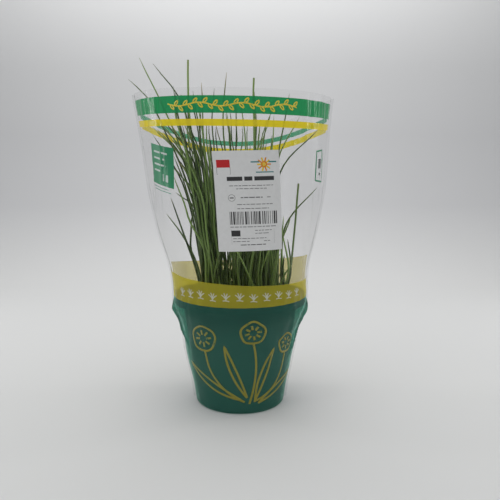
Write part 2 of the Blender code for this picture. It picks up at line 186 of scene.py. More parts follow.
def polypropylene():
    """Moulded black polypropylene: satin, IOR 1.49, with a fine spark grain and peat dust in random smears.
    """
    material, tree, place = new_material("pot_polypropylene")
    grain = add(tree, "ShaderNodeTexNoise", {"Vector": place, "Scale": 1 / (GRAIN_SIZE * MM), "Detail": 2.0})
    smears = add(tree, "ShaderNodeTexNoise", {"Vector": place, "Scale": 60.0, "Detail": 5.0})
    dusty = add(tree, "ShaderNodeMapRange", {0: smears, 1: 0.5, 2: 0.72, 4: 0.6})
    colour = add(
        tree,
        "ShaderNodeMix",
        {0: dusty, 6: srgb(POT_BLACK), 7: srgb(PEAT_DUST)},
        data_type="RGBA",
    )
    rough = add(tree, "ShaderNodeMapRange", {0: smears, 1: 0.3, 2: 0.7, 3: 0.38, 4: 0.6})
    bump = add(tree, "ShaderNodeBump", {"Height": grain, "Strength": 0.25, "Distance": 0.0001})
    skin = {"Base Color": colour, "Roughness": rough, "Normal": bump, "IOR": 1.49}
    coat(tree, skin)
    return material


def arc(centre, radius, start, end, count):
    """Points of an arc in the turned outline's plane, angles in degrees."""
    angles = [math.radians(start + (end - start) * i / (count - 1)) for i in range(count)]
    return [(centre[0] + radius * math.cos(a), centre[1] + radius * math.sin(a)) for a in angles]


def wall_radius(height):
    return POT_BASE_RADIUS + POT_DRAFT * height


step = POT_HEIGHT - COLLAR_HEIGHT
rim_inner = COLLAR_RADIUS - 1.3 * POT_WALL
rim_bead = (COLLAR_RADIUS - rim_inner) / 2
pot_outline = [
    (0.0, FLOOR_TOP),
    (wall_radius(FLOOR_TOP) - POT_WALL - 2.5, FLOOR_TOP),
    *arc((wall_radius(FLOOR_TOP) - POT_WALL - 2.2, FLOOR_TOP + 2.0), 2.0, -80, -10, 4),
    (wall_radius(step) - POT_WALL, step + 0.4),
    (rim_inner - 0.4, step + POT_WALL + 0.3),
    (rim_inner, step + POT_WALL + 1.0),
    *arc((rim_inner + rim_bead, POT_HEIGHT - rim_bead), rim_bead, 180, 0, 7),
    (COLLAR_RADIUS - 0.05, step + 1.6),
    *arc((COLLAR_RADIUS - 0.9, step + 0.8), 0.8, 0, -80, 4),
    (wall_radius(step) + 0.5, step - 0.1),
    *arc((wall_radius(step) + 0.5, step - 0.7), 0.5, 100, 185, 3),
    (wall_radius(60), 60.0),
    (wall_radius(30), 30.0),
    *arc((POT_BASE_RADIUS - 0.6, 0.6), 0.6, 0, -90, 4),
    *arc((POT_BASE_RADIUS - 3.4, 0.6), 0.6, -90, -180, 4),
    (POT_BASE_RADIUS - 4.8, FLOOR_RAISE),
    (9.8, FLOOR_RAISE),
    *arc((8.4, 0.6), 0.6, 0, -90, 4),
    (0.0, 0.0),
]
pot_shell = turned("pot_shell", pot_outline, POT_STEPS, polypropylene())
drains = bpy.data.collections.new("drains")
for i in range(DRAIN_HOLES):
    angle = 2 * math.pi * (i + 0.5) / DRAIN_HOLES
    spot = (DRAIN_CIRCLE * MM * math.cos(angle), DRAIN_CIRCLE * MM * math.sin(angle), FLOOR_TOP * MM)
    bpy.ops.mesh.primitive_cylinder_add(vertices=24, radius=DRAIN_RADIUS * MM, depth=8 * MM, location=spot)
    drains.objects.link(bpy.context.object)
cut = pot_shell.modifiers.new("drains", "BOOLEAN")
cut.operand_type = "COLLECTION"
cut.collection = drains
plain_mesh(pot_shell)
for drill in list(drains.objects):
    bpy.data.objects.remove(drill)
pot_shell.data.shade_smooth()
pot_shell.data.set_sharp_from_angle(angle=math.radians(42))
settle(pot_shell, "pot", "pot")


# Soil: the moist peat plug that the chives were sown in. Its top is crumbly, a little heaped round each
# tuft, with specks of perlite and short brown fibres in it.

SOIL_EDGE = 96.0
SOIL_MIDDLE = 97.6
SOIL_RINGS = 44
SOIL_STEPS = 132
SOIL_LUMP = 8.0
SOIL_ROUGHNESS = 2.2
MOUND = 1.6
MOUND_SPREAD = 10.0
CRUMBS = 2600
PERLITE = 90
FIBRES = 240
PEAT_DARK = "#1d150e"
PEAT_LIGHT = "#4b3826"
PERLITE_WHITE = "#cfcac0"
FIBRE_BROWN = "#6e5234"
CROWNS = ((-25, -15), (-24, 14), (4, -25), (5, 5), (2, 33), (34, -13), (30, 18))


def peat(name, dark, light, size, rough):
    """Peat and what is in it: matt and porous, its colour broken up at the size of its crumbs."""
    material, tree, place = new_material(name)
    patches = add(tree, "ShaderNodeTexNoise", {"Vector": place, "Scale": 1 / (size * MM), "Detail": 6.0})
    fleck = add(tree, "ShaderNodeMapRange", {0: patches, 1: 0.38, 2: 0.68})
    colour = add(tree, "ShaderNodeMix", {0: fleck, 6: srgb(dark), 7: srgb(light)}, data_type="RGBA")
    bump = add(tree, "ShaderNodeBump", {"Height": patches, "Strength": 0.6, "Distance": 0.0004})
    skin = {"Base Color": colour, "Roughness": rough, "Normal": bump}
    coat(tree, skin)
    return material


def new_tree(name, sizes):
    """A Geometry Nodes tree with its named inputs, and its input and output nodes."""
    tree = bpy.data.node_groups.new(name, "GeometryNodeTree")
    tree.interface.new_socket("Geometry", in_out="INPUT", socket_type="NodeSocketGeometry")
    for label, kind in sizes.items():
        tree.interface.new_socket(label, in_out="INPUT", socket_type=kind)
    tree.interface.new_socket("Geometry", in_out="OUTPUT", socket_type="NodeSocketGeometry")
    return tree, add(tree, "NodeGroupInput").outputs


def deliver(tree, geometry, material):
    """The tree's end: real geometry in its material."""
    real = add(tree, "GeometryNodeRealizeInstances", {0: geometry})
    finished = add(tree, "GeometryNodeSetMaterial", {"Geometry": real, "Material": material})
    add(tree, "NodeGroupOutput", {0: finished})


def grown(name, mesh, tree, values):
    """Runs a tree on a mesh with its inputs set, and keeps what it makes as a plain mesh."""
    piece = bpy.data.objects.new(name, mesh)
    bpy.context.scene.collection.objects.link(piece)
    modifier = piece.modifiers.new("build", "NODES")
    modifier.node_group = tree
    for socket in tree.interface.items_tree:
        if socket.in_out == "INPUT" and socket.name in values:
            modifier[socket.identifier] = values[socket.name]
    return plain_mesh(piece)


def scatter_tree():
    """Drops small rough grains on the soil's top, each turned and sized at random."""
    sizes = {
        "Count per m2": "NodeSocketFloat",
        "Smallest": "NodeSocketFloat",
        "Largest": "NodeSocketFloat",
        "Length": "NodeSocketFloat",
        "Seed": "NodeSocketInt",
        "Material": "NodeSocketMaterial",
    }
    tree, given = new_tree("soil_grains", sizes)
    spots = add(
        tree,
        "GeometryNodeDistributePointsOnFaces",
        {"Mesh": given["Geometry"], "Density": given["Count per m2"], "Seed": given["Seed"]},
    )
    grain = add(tree, "GeometryNodeMeshIcoSphere", {"Radius": 1.0, "Subdivisions": 2})
    size = add(
        tree,
        "FunctionNodeRandomValue",
        {2: given["Smallest"], 3: given["Largest"], "Seed": given["Seed"]},
        data_type="FLOAT",
    )
    turn = add(
        tree,
        "FunctionNodeRandomValue",
        {0: (0.0, 0.0, 0.0), 1: (6.28, 6.28, 6.28), "Seed": given["Seed"]},
        data_type="FLOAT_VECTOR",
    )
    long = add(tree, "ShaderNodeMath", {0: size.outputs[1], 1: given["Length"]}, operation="MULTIPLY")
    shape = add(tree, "ShaderNodeCombineXYZ", {0: size.outputs[1], 1: size.outputs[1], 2: long})
    placed = add(
        tree,
        "GeometryNodeInstanceOnPoints",
        {
            "Points": spots.outputs["Points"],
            "Instance": grain.outputs["Mesh"],
            "Rotation": turn,
            "Scale": shape,
        },
    )
    real = add(tree, "GeometryNodeRealizeInstances", {0: placed})
    lumps = add(tree, "ShaderNodeTexNoise", {"Scale": 700.0, "Detail": 1.0})
    centred = add(
        tree,
        "ShaderNodeVectorMath",
        {0: lumps.outputs["Color"], 1: (0.5, 0.5, 0.5)},
        operation="SUBTRACT",
    )
    shift = add(tree, "ShaderNodeVectorMath", {0: centred, "Scale": 1.5 * MM}, operation="SCALE")
    rough = add(tree, "GeometryNodeSetPosition", {"Geometry": real, "Offset": shift})
    deliver(tree, rough, given["Material"])
    return tree


soil_radius = COLLAR_RADIUS - 1.3 * POT_WALL - 0.9
soil_bottom = FLOOR_TOP + 0.6
soil_outline = [
    (soil_radius * i / SOIL_RINGS, SOIL_MIDDLE - (SOIL_MIDDLE - SOIL_EDGE) * (i / SOIL_RINGS) ** 2)
    for i in range(SOIL_RINGS + 1)
] + [
    (soil_radius, step + POT_WALL + 1.0),
    (wall_radius(step) - POT_WALL - 0.8, step + 0.6),
    (wall_radius(soil_bottom + 2) - POT_WALL - 0.6, soil_bottom + 2),
    (wall_radius(soil_bottom) - POT_WALL - 2.6, soil_bottom),
    (0.0, soil_bottom),
]
bed_peat = peat("peat", PEAT_DARK, PEAT_LIGHT, 2.5, 0.95)
soil_bed = plain_mesh(turned("soil_bed", soil_outline, SOIL_STEPS, bed_peat))
for vertex in soil_bed.data.vertices:
    x, y, z = vertex.co / MM
    if z > SOIL_EDGE - 0.1:
        edge = min(1.0, (soil_radius - math.hypot(x, y)) / 2.0)
        heap = sum(math.exp(-((x - a) ** 2 + (y - b) ** 2) / MOUND_SPREAD**2) for a, b in CROWNS)
        lump = noise.fractal(Vector((x, y, 3.0)) / SOIL_LUMP, 1.0, 2.0, 4)
        vertex.co.z += edge * (SOIL_ROUGHNESS * 0.5 * lump + MOUND * min(heap, 1.0)) * MM
soil_bed.data.shade_smooth()
settle(soil_bed, "soil", "soil")

top_faces = bmesh.new()
top_faces.from_mesh(soil_bed.data)
low_faces = [face for face in top_faces.faces if face.calc_center_median().z < (SOIL_EDGE - 1.5) * MM]
bmesh.ops.delete(top_faces, geom=low_faces, context="FACES")
soil_area = math.pi * (soil_radius * MM) ** 2
grains = scatter_tree()
peat_grains = (
    ("soil_crumbs", CRUMBS, 0.35, 1.5, 1.1, peat("peat_crumbs", PEAT_DARK, PEAT_LIGHT, 1.5, 0.95)),
    ("soil_perlite", PERLITE, 0.5, 1.1, 1.0, peat("perlite", "#a89f90", PERLITE_WHITE, 1.0, 0.9)),
    ("soil_fibres", FIBRES, 0.12, 0.22, 22.0, peat("peat_fibre", "#3a2a1a", FIBRE_BROWN, 1.5, 0.9)),
)
for seed, (name, count, smallest, largest, length, material) in enumerate(peat_grains):
    ground = bpy.data.meshes.new(name)
    top_faces.to_mesh(ground)
    values = {
        "Count per m2": count / soil_area,
        "Smallest": smallest * MM,
        "Largest": largest * MM,
        "Length": length,
        "Seed": seed,
        "Material": material,
    }
    bits = grown(name, ground, grains, values)
    for vertex in bits.data.vertices:
        spread = math.hypot(vertex.co.x, vertex.co.y)
        limit = (soil_radius + 0.5) * MM
        if spread > limit:
            vertex.co.x *= limit / spread
            vertex.co.y *= limit / spread
    settle(bits, "soil")
top_faces.free()


# Sleeve's shape: two fan-shaped films welded at the sides, pulled up over the pot so that they hug it and
# open out above its collar. The levels are the same as in the solids. Prints and label read this surface too.

FILM_STATIONS = (
    (1.0, 41.0, 39.4, 39.4, 0.0, 0.3, 0.3),
    (18.0, 43.6, 42.2, 42.2, 0.0, 0.6, 0.8),
    (35.0, 47.2, 45.2, 45.0, -0.3, 1.0, 1.2),
    (50.0, 50.2, 48.0, 47.5, -0.5, 1.3, 1.6),
    (65.0, 52.2, 50.8, 50.6, -0.3, 1.6, 2.0),
    (78.0, 56.2, 55.2, 55.2, 0.0, 2.2, 2.6),
    (89.5, 60.6, 60.4, 60.4, 0.0, 2.6, 3.2),
    (101.0, 60.8, 60.6, 60.6, 0.0, 3.0, 4.0),
    (115.0, 61.4, 61.0, 62.4, -0.7, 4.4, 6.0),
    (131.0, 64.0, 62.6, 65.4, -1.8, 6.0, 8.0),
    (148.0, 69.0, 66.0, 66.8, -2.6, 7.2, 9.2),
    (167.0, 73.6, 69.6, 67.8, -3.0, 8.2, 10.4),
    (193.0, 78.6, 72.6, 69.6, -3.4, 9.4, 11.4),
    (218.0, 81.4, 74.2, 72.4, -4.0, 10.4, 12.0),
    (246.0, 84.4, 76.6, 75.8, -5.4, 11.4, 12.4),
    (277.0, 88.4, 79.6, 79.6, -6.6, 12.4, 13.6),
)
ROUND_CONTROL = 0.5523
FLAT_CONTROL = 0.70
FLAT_FROM = 105.0
FLAT_TO = 195.0
LENS_SHARE = 0.8
PRINT_ROLL = 0.018
WELD_WIDTH = 2.5
WELD_OFFSET = 0.6
FILM_HALF_COLUMNS = 64
FILM_ROWS = 185
FILM_THICKNESS = 0.12


def cubic(rows, slopes, i, t, span):
    """The smooth curve between rows i and i + 1, which are span apart, at the share t of the way."""
    return (
        (2 * t**3 - 3 * t**2 + 1) * rows[i]
        + (t**3 - 2 * t**2 + t) * span * slopes[i]
        + (3 * t**2 - 2 * t**3) * rows[i + 1]
        + (t**3 - t**2) * span * slopes[i + 1]
    )


def film_level(height):
    """The sleeve's measures at one seam height, read smoothly between the stations."""
    rows = np.array(FILM_STATIONS)
    heights = rows[:, 0]
    i = int(np.clip(np.searchsorted(heights, height) - 1, 0, len(rows) - 2))
    span = heights[i + 1] - heights[i]
    return cubic(rows, np.gradient(rows, heights, axis=0), i, (height - heights[i]) / span, span)


def ramp(value, low, high):
    t = np.clip((value - low) / (high - low), 0.0, 1.0)
    return t * t * (3 - 2 * t)


def film_row(front, us, height):
    """One level of a panel: u runs from -1 at the left seam to 1, and past them out over the welds."""
    _, seam, side, depth, lean, dip_front, dip_back = film_level(height)
    t = np.minimum(np.abs(us), 1.0)
    control = ROUND_CONTROL + (FLAT_CONTROL - ROUND_CONTROL) * ramp(height, FLAT_FROM, FLAT_TO)
    lens = 0.0 if front else LENS_SHARE * ramp(height, FLAT_FROM, FLAT_TO)
    control += (1 / 3 - control) * lens
    side += (2 / 3 * seam - side) * lens
    fullness = ROUND_CONTROL + (2 / 3 - ROUND_CONTROL) * lens
    along = 3 * (1 - t) ** 2 * t * control * seam + 3 * (1 - t) * t**2 * side + t**3 * seam
    across = (1 - t) ** 3 * depth + 3 * (1 - t) ** 2 * t * depth + 3 * (1 - t) * t**2 * fullness * depth
    x = lean + np.copysign(along + WELD_WIDTH * np.maximum(np.abs(us) - 1.0, 0.0), us)
    y = across + WELD_OFFSET
    z = height - (dip_front if front else dip_back) * (1 - t * t) - PRINT_ROLL * x * ramp(height, 95.0, 131.0)
    return np.stack([x, -y if front else y, z], axis=1)


# The pull of the pot on the film gives it soft flutes above the collar, fine crinkles along the welds, a few
# sharp creases, and tucks where the collar gathers it.

FLUTE_DEPTH = 1.3
CRINKLE_DEPTH = 0.4
CREASES = (
    (-62.0, 0.9, 150.0),
    (66.0, 0.9, 140.0),
    (74.0, 0.6, 120.0),
    (-83.0, 0.8, 118.0),
    (88.0, 0.8, 160.0),
)
CREASE_WIDTH = 1.3
TUCK_DEPTH = 0.3
FOLDS = ((-1, 97.0, 0.85, 2.3), (-1, 90.0, 1.5, 1.9), (1, 98.0, 1.05, 2.2), (1, 88.0, 1.9, 1.8))
FOLD_REACH = 26.0
FOLD_WIDTH = 2.0
PLEAT_DEPTH = 0.7
POCKET_DEPTH = 1.2
LABEL_X = 10.2
LABEL_V = 190.7
LABEL_WIDTH = 51.0
LABEL_HEIGHT = 80.0


def ripple(*place):
    return noise.noise(Vector(place))


def wrinkle(front, x, v, gap):
    """How far the film stands out from its taut shape, in millimetres, where gap is the way to the weld."""
    seed = 4.0 if front else 31.0
    flute = ripple(x / 21.0, v / 95.0, seed) + 0.5 * ripple(x / 9.0, v / 60.0, seed + 7)
    crinkle = ripple(x / 3.2, v / 26.0, seed + 3) + ripple(x / 6.0, v / 7.0, seed + 5)
    near_weld = math.exp(-((gap / 15.0) ** 2)) * ramp(v, 100.0, 125.0) * ramp(gap, 0.0, 2.5)
    out = FLUTE_DEPTH * ramp(v, 104.0, 150.0) * ramp(gap, 0.0, 12.0) * flute
    out += CRINKLE_DEPTH * near_weld * crinkle
    for place, depth, start in CREASES:
        drift = place + (v - 200.0) * 0.03 + 0.6 * ripple(place, v / 18.0, seed)
        out -= depth * math.exp(-(((x - drift) / CREASE_WIDTH) ** 2)) * ramp(v, start, start + 40.0)
    for side, top, slope, depth in FOLDS:
        if x * side > 0 and gap < FOLD_REACH:
            line = top - slope * gap
            height = depth * math.exp(-(((v - line) / FOLD_WIDTH) ** 2))
            out += height * ramp(gap, 1.0, 10.0) * ramp(FOLD_REACH - gap, 0.0, 12.0)
    pleat = PLEAT_DEPTH * ripple(x / 5.5, v / 34.0, seed + 11)
    out += pleat * ramp(v, 30.0, 70.0) * ramp(99.0 - v, 0.0, 8.0) * ramp(gap, 0.0, 5.0)
    pocket = POCKET_DEPTH * abs(ripple(x / 19.0, v / 30.0, seed + 19))
    out += pocket * ramp(v, 12.0, 35.0) * ramp(96.0 - v, 0.0, 14.0) * ramp(gap, 0.0, 8.0)
    tuck = TUCK_DEPTH * math.sin(x / 1.9 + 2.0 * ripple(x / 14.0, 0.0, seed))
    out += tuck * math.exp(-(((v - 103.0) / 5.0) ** 2)) * ramp(gap, 0.0, 6.0)
    if front:
        under = max(abs(x - LABEL_X) / (LABEL_WIDTH / 2 + 3), abs(v - LABEL_V) / (LABEL_HEIGHT / 2 + 3))
        out *= ramp(under, 0.8, 1.25)
    return out


def outward(points, front):
    """The unit normals of a panel's net of points, away from the sleeve's inside."""
    normals = np.cross(np.gradient(points, axis=1), np.gradient(points, axis=0))
    normals /= np.linalg.norm(normals, axis=2, keepdims=True)
    return normals if front else -normals


def film_surface(front, wrinkled):
    """The panel as a net of points and outward normals, and each point's way along it from its middle."""
    half = np.linspace(0, 1, FILM_HALF_COLUMNS + 1)
    weld = np.array([1.25, 1.5, 1.75, 2.0])
    us = np.concatenate([-weld[::-1], -half[:0:-1], half, weld])
    heights = np.linspace(FILM_STATIONS[0][0], FILM_STATIONS[-1][0], FILM_ROWS)
    points = np.array([film_row(front, us, v) for v in heights])
    steps = np.linalg.norm(np.diff(points, axis=1), axis=2)
    run = np.concatenate([np.zeros((FILM_ROWS, 1)), np.cumsum(steps, axis=1)], axis=1)
    middle = len(weld) + FILM_HALF_COLUMNS
    run -= run[:, middle : middle + 1]
    seam_run = run[:, -len(weld) - 1]
    normals = outward(points, front)
    if wrinkled:
        for i, v in enumerate(heights):
            for j in range(len(us)):
                gap = max(seam_run[i] - abs(run[i, j]), 0.0)
                points[i, j] += normals[i, j] * wrinkle(front, run[i, j], v, gap)
        normals = outward(points, front)
    return {"heights": heights, "run": run, "seam": seam_run, "points": points, "normals": normals}


def on_film(film, x, v, lift):
    """The place lift millimetres off the film, x along it from its middle and at print height v."""
    row = np.interp(v, film["heights"], np.arange(FILM_ROWS))
    low = min(int(row), FILM_ROWS - 2)
    place = np.zeros(3)
    normal = np.zeros(3)
    for i, share in ((low, 1 - (row - low)), (low + 1, row - low)):
        column = np.interp(x, film["run"][i], np.arange(film["run"].shape[1]))
        j = min(int(column), film["run"].shape[1] - 2)
        f = column - j
        place += share * ((1 - f) * film["points"][i, j] + f * film["points"][i, j + 1])
        normal += share * ((1 - f) * film["normals"][i, j] + f * film["normals"][i, j + 1])
    return (place + normal / np.linalg.norm(normal) * lift) * MM


# Chives: seven tufts of round hollow leaves, each from a knot of small bulbs. They grow as planned in the
# solids, by the same rule and seed, and finer leaves that the solids leave out fill the tufts. The skin is
# smooth with a waxy bloom, paler at the foot, and some tips are cut or have dried.

LEAF_ROOT = 93.0
LEAF_RADIUS = 1.25
LEAF_TIP_RADIUS = 0.4
LEAF_RINGS = 6
LEAF_CLEARANCE = 0.35
FILM_CLEARANCE = 3.0
ROOT_SPREAD = 9.2
WAIST_HEIGHT = 165.0
HEAD_HEIGHT = 250.0
SEED = 12
TRIES = 90
TUFTS = (
    ("left_front", (-25, -15), (-30, -11), (9.5, 9.5), (-45, -16), (20, 14), 25, (195, 286)),
    ("left_back", (-24, 14), (-30, 11), (9.5, 9.5), (-44, 16), (20, 15), 25, (200, 284)),
    ("middle_front", (4, -25), (5, -26), (14, 10), (5, -26), (18, 11), 20, (132, 215)),
    ("middle", (5, 5), (4, 4), (13, 12), (2, 4), (22, 14), 21, (150, 282)),
    ("middle_back", (2, 33), (4, 33), (14, 11), (6, 38), (22, 14), 18, (150, 278)),
    ("right_front", (34, -13), (24, -13), (9, 11), (19, -14), (9, 12), 18, (128, 212)),
    ("right_back", (30, 18), (23, 20), (10, 11), (22, 26), (12, 14), 18, (136, 272)),
)
FRONT, BACK = "left_front", "left_back"
STRAYS = (
    (FRONT, (-31, -15), (-35, -17, 130), (-38, -18, 170), (-61, -16, 235), (-83, -12, 276), (-98, -10, 290)),
    (BACK, (-30, 9), (-38, 2, 170), (-57, 2, 240), (-73, 0, 277), (-90, -2, 311)),
    (BACK, (-27, 8), (-32, 1, 165), (-43, 6, 235), (-56, 5, 278), (-78, 2, 307)),
    (FRONT, (-24, -9), (-29, -4, 165), (-41, -6, 230), (-46, -5, 278), (-46, -5, 308)),
    (BACK, (-20, 9), (-26, 2, 165), (-33, 10, 235), (-36, 12, 293)),
    (FRONT, (-32, -10), (-38, -9, 122), (-45, -5, 140), (-67, -2, 172)),
    (FRONT, (-33, -19), (-38, -20, 120), (-46, -22, 145), (-60, -20, 186)),
    (BACK, (-31, 15), (-38, 19, 125), (-42, 20, 150), (-54, 18, 200), (-80, 6, 245)),
    ("middle", (3, 1), (-4, -3, 165), (-15, -6, 250), (-12, -6, 297)),
    ("middle", (9, 8), (12, 10, 165), (13, 8, 250), (12.6, 4, 295)),
    ("middle_back", (3, 29), (-2, 26, 165), (-4, 26, 240), (-4, 24, 283)),
    ("right_back", (33, 14), (31, 14, 165), (36, 14, 225), (46, 12, 283)),
    ("right_front", (39, -12), (45, -11, 120), (49, -11, 160), (52, -12, 199)),
    ("right_front", (38, -7), (38, -3, 130), (41, 0, 160), (70, 0, 196)),
    ("right_back", (37, 12), (34, 8, 150), (38, 4, 212), (71, 0, 249)),
    ("right_back", (36, 21), (38, 24, 160), (38, 24, 228), (56, 22, 264)),
    ("right_front", (38, -17), (45, -17, 122), (42, -19, 150)),
    ("right_front", (35, -19), (42, -25, 120), (36, -27, 162)),
)
FANNED = (
    (FRONT, (-33, -17), (-36, -19, 160), (-39, -20, 190), (-52, -20, 222), (-66, -20, 243)),
    (BACK, (-28, 12), (-34, 13, 165), (-38, 12, 197), (-50, 12, 226), (-70, 10, 250)),
    (BACK, (-33, 6), (-36, 3, 168), (-40, 1, 200), (-55, 0, 228), (-66, 0, 238), (-79, 0, 252)),
    (FRONT, (-30, -15), (-33, -16, 170), (-38, -18, 204), (-50, -19, 234), (-59, -20, 252)),
    (FRONT, (-32, -14), (-36, -18, 171), (-39, -18, 184), (-41, -18, 196), (-49, -18, 203), (-59, -18, 213)),
    (FRONT, (-31, -12), (-35, -12, 171), (-37, -12, 188), (-42, -12, 201), (-47, -12, 211), (-58, -12, 222)),
    (FRONT, (-29, -16), (-32, -22, 171), (-35, -22, 189), (-39, -22, 198), (-45, -22, 208), (-55, -22, 217)),
    (FRONT, (-31, -10), (-34, -8, 171), (-36, -8, 189), (-47, -8, 217), (-57, -8, 230), (-73, -8, 247)),
    (BACK, (-30, 8), (-33, 0, 171), (-35, 0, 192), (-39, 0, 208), (-58, 0, 238), (-75, 0, 256)),
    (FRONT, (-29, -13), (-31, -15, 171), (-32, -15, 193), (-44, -15, 225), (-53, -15, 238), (-65, -15, 255)),
    (BACK, (-29, 11), (-32, 8, 171), (-33, 8, 196), (-35, 8, 213), (-44, 8, 230), (-58, 8, 253)),
    (FRONT, (-27, -15), (-29, -20, 171), (-30, -20, 197), (-37, -20, 228), (-43, -20, 240), (-48, -20, 253)),
    (BACK, (-34, 12), (-38, 12, 171), (-39, 12, 195), (-44, 12, 211), (-52, 12, 227), (-67, 12, 244)),
    (FRONT, (-29, -9), (-31, -5, 171), (-31, -5, 194), (-41, -5, 219), (-48, -5, 231), (-60, -5, 246)),
    (FRONT, (-28, -17), (-30, -24, 171), (-32, -24, 187), (-36, -24, 200), (-42, -24, 212), (-55, -24, 227)),
    (BACK, (-28, 14), (-30, 16, 171), (-31, 16, 195), (-35, 16, 212), (-40, 16, 228), (-51, 16, 251)),
    (BACK, (-31, 9), (-34, 4, 171), (-36, 4, 185), (-40, 4, 196), (-46, 4, 207), (-52, 4, 216)),
    (FRONT, (-26, -11), (-28, -10, 171), (-28, -10, 193), (-36, -10, 227), (-41, -10, 241), (-46, -10, 262)),
    (FRONT, (-30, -18), (-33, -22, 160), (-41, -24, 195), (-60, -27, 213)),
    (FRONT, (-27, -19), (-34, -20, 150), (-43, -22, 168), (-48, -24, 184), (-57, -26, 204)),
    (BACK, (-32, 10), (-43, 9, 130), (-45, 8, 150), (-45, 8, 167), (-41, 7, 177), (-59, 5, 192)),
)
FILL_SEED = 40
FILL_TRIES = 60
FILL_COUNTS = (42, 38, 34, 16, 8, 14, 10)
FILL_GAP = 1.5
FILL_GIRTH = (0.5, 0.82)
FILL_DROP = 35.0
LOW_SEED = 77
LOW_LEAVES = 98
LOW_SPREAD = (-33.0, 36.0, -30.0, 38.0)
LOW_TIPS = (118.0, 172.0)
LOW_LEAN = 44.0
LOW_REACH = (-41.0, 46.0)
LOW_GAP = 1.3
WAIST_PULL = 3.0
WAIST_NARROWING = 0.75
HEAD_PUSH = 3.0
HEAD_WIDENING = 1.25
OWN_GIRTH = 0.8
# Leaf tones are skewed towards the dark end, so that many leaves are darker and stand in for shade inside the
# dense tufts.
SHADE_TONE_BIAS = 1.35
DRIFT = 3.2
DRIFT_SIZE = 30.0
OWN_DRIFT = 1.7
STRAY_DRIFT = 0.3
# The dark end of the leaves' green is partly their own tone and partly painted shade for leaves deep in the
# tufts.
LEAF_SHADE_DARK = "#142c07"
LEAF_LIGHT = "#8aa95c"
LEAF_STREAK = "#9db572"
LEAF_FOOT = "#a9ad74"
LEAF_DRY = "#a58d5a"
BLADE_POINTS = 20
BLADE_SIDES = 8
FOOT_FLARE = 0.45
FOOT_HEIGHT = 7.0
CUT_STRAYS = (3, 9, 12)
DRY_SHARE = 0.12


def smooth_path(guides, count):
    """count points, evenly spaced along a smooth curve through the guide points."""
    points = np.array(guides, float)
    steps = np.linalg.norm(np.diff(points, axis=0), axis=1)
    run = np.concatenate([[0.0], np.cumsum(steps)])
    slopes = np.gradient(points, run, axis=0)
    places = []
    for s in np.linspace(0, run[-1], count):
        i = int(np.clip(np.searchsorted(run, s) - 1, 0, len(run) - 2))
        places.append(cubic(points, slopes, i, (s - run[i]) / steps[i], steps[i]))
    return np.array(places)


def path_gap(path, others):
    """The least distance between one path and any of the others, all as chains of straight pieces."""
    p, d1 = path[:-1, None], (path[1:] - path[:-1])[:, None]
    q = np.concatenate([other[:-1] for other in others])[None]
    d2 = np.concatenate([other[1:] - other[:-1] for other in others])[None]
    r = p - q
    a, e = (d1 * d1).sum(-1), (d2 * d2).sum(-1)
    b, c, f = (d1 * d2).sum(-1), (d1 * r).sum(-1), (d2 * r).sum(-1)
    spread = np.maximum(a * e - b * b, 1e-9)
    s = np.clip((b * f - c * e) / spread, 0, 1)
    t = np.clip((b * s + f) / e, 0, 1)
    s = np.clip((b * t - c) / a, 0, 1)
    apart = r + d1 * s[..., None] - d2 * t[..., None]
    return float(np.sqrt((apart * apart).sum(-1)).min())


def inside_film(path):
    """True if the path keeps clear of the sleeve's wall below its open edge."""
    heights, seams, _, depths, leans, _, _ = np.array(FILM_STATIONS).T
    x, y, z = path[path[:, 2] < heights[-1] - 4].T
    reach_x = np.interp(z + 8, heights, seams) - FILM_CLEARANCE
    reach_y = np.interp(z + 8, heights, depths) - FILM_CLEARANCE
    lean = np.interp(z + 8, heights, leans)
    power = np.where(y > 0, 2 - LENS_SHARE * np.interp(z, (FLAT_FROM, FLAT_TO), (0, 1)), 2)
    return bool((((x - lean) / reach_x) ** 2 + (np.abs(y) / reach_y) ** power < 1).all())


def bundle(tuft, s, t, height):
    """Where a leaf at (s, t) of its tuft's unit disc stands at one height: no two such leaves cross."""
    _, crown, waist, waist_radii, head, head_radii, _, _ = tuft
    heights = np.array([LEAF_ROOT, WAIST_HEIGHT, HEAD_HEIGHT, HEAD_HEIGHT + 70])
    rows = np.array([(*crown, ROOT_SPREAD, ROOT_SPREAD), (*waist, *waist_radii), (*head, *head_radii)])
    rows = np.vstack([rows, rows[2] + 0.7 * (rows[2] - rows[1])])
    i = int(np.clip(np.searchsorted(heights, height) - 1, 0, 2))
    span = heights[i + 1] - heights[i]
    row = cubic(rows, np.gradient(rows, heights, axis=0), i, (height - heights[i]) / span, span)
    return np.array([row[0] + row[2] * s, row[1] + row[3] * t, height])


def fanned(tuft):
    """The tuft's own form, drawn in at its waist and opened at its head."""
    name, crown, waist, waist_radii, head, head_radii, count, tips = tuft
    waist = (waist[0] - WAIST_PULL * math.copysign(1.0, waist[0]), waist[1])
    head = (head[0] + HEAD_PUSH * math.copysign(1.0, head[0]), head[1])
    waist_radii = [WAIST_NARROWING * r for r in waist_radii]
    head_radii = [HEAD_WIDENING * r for r in head_radii]
    return name, crown, waist, waist_radii, head, head_radii, count, tips


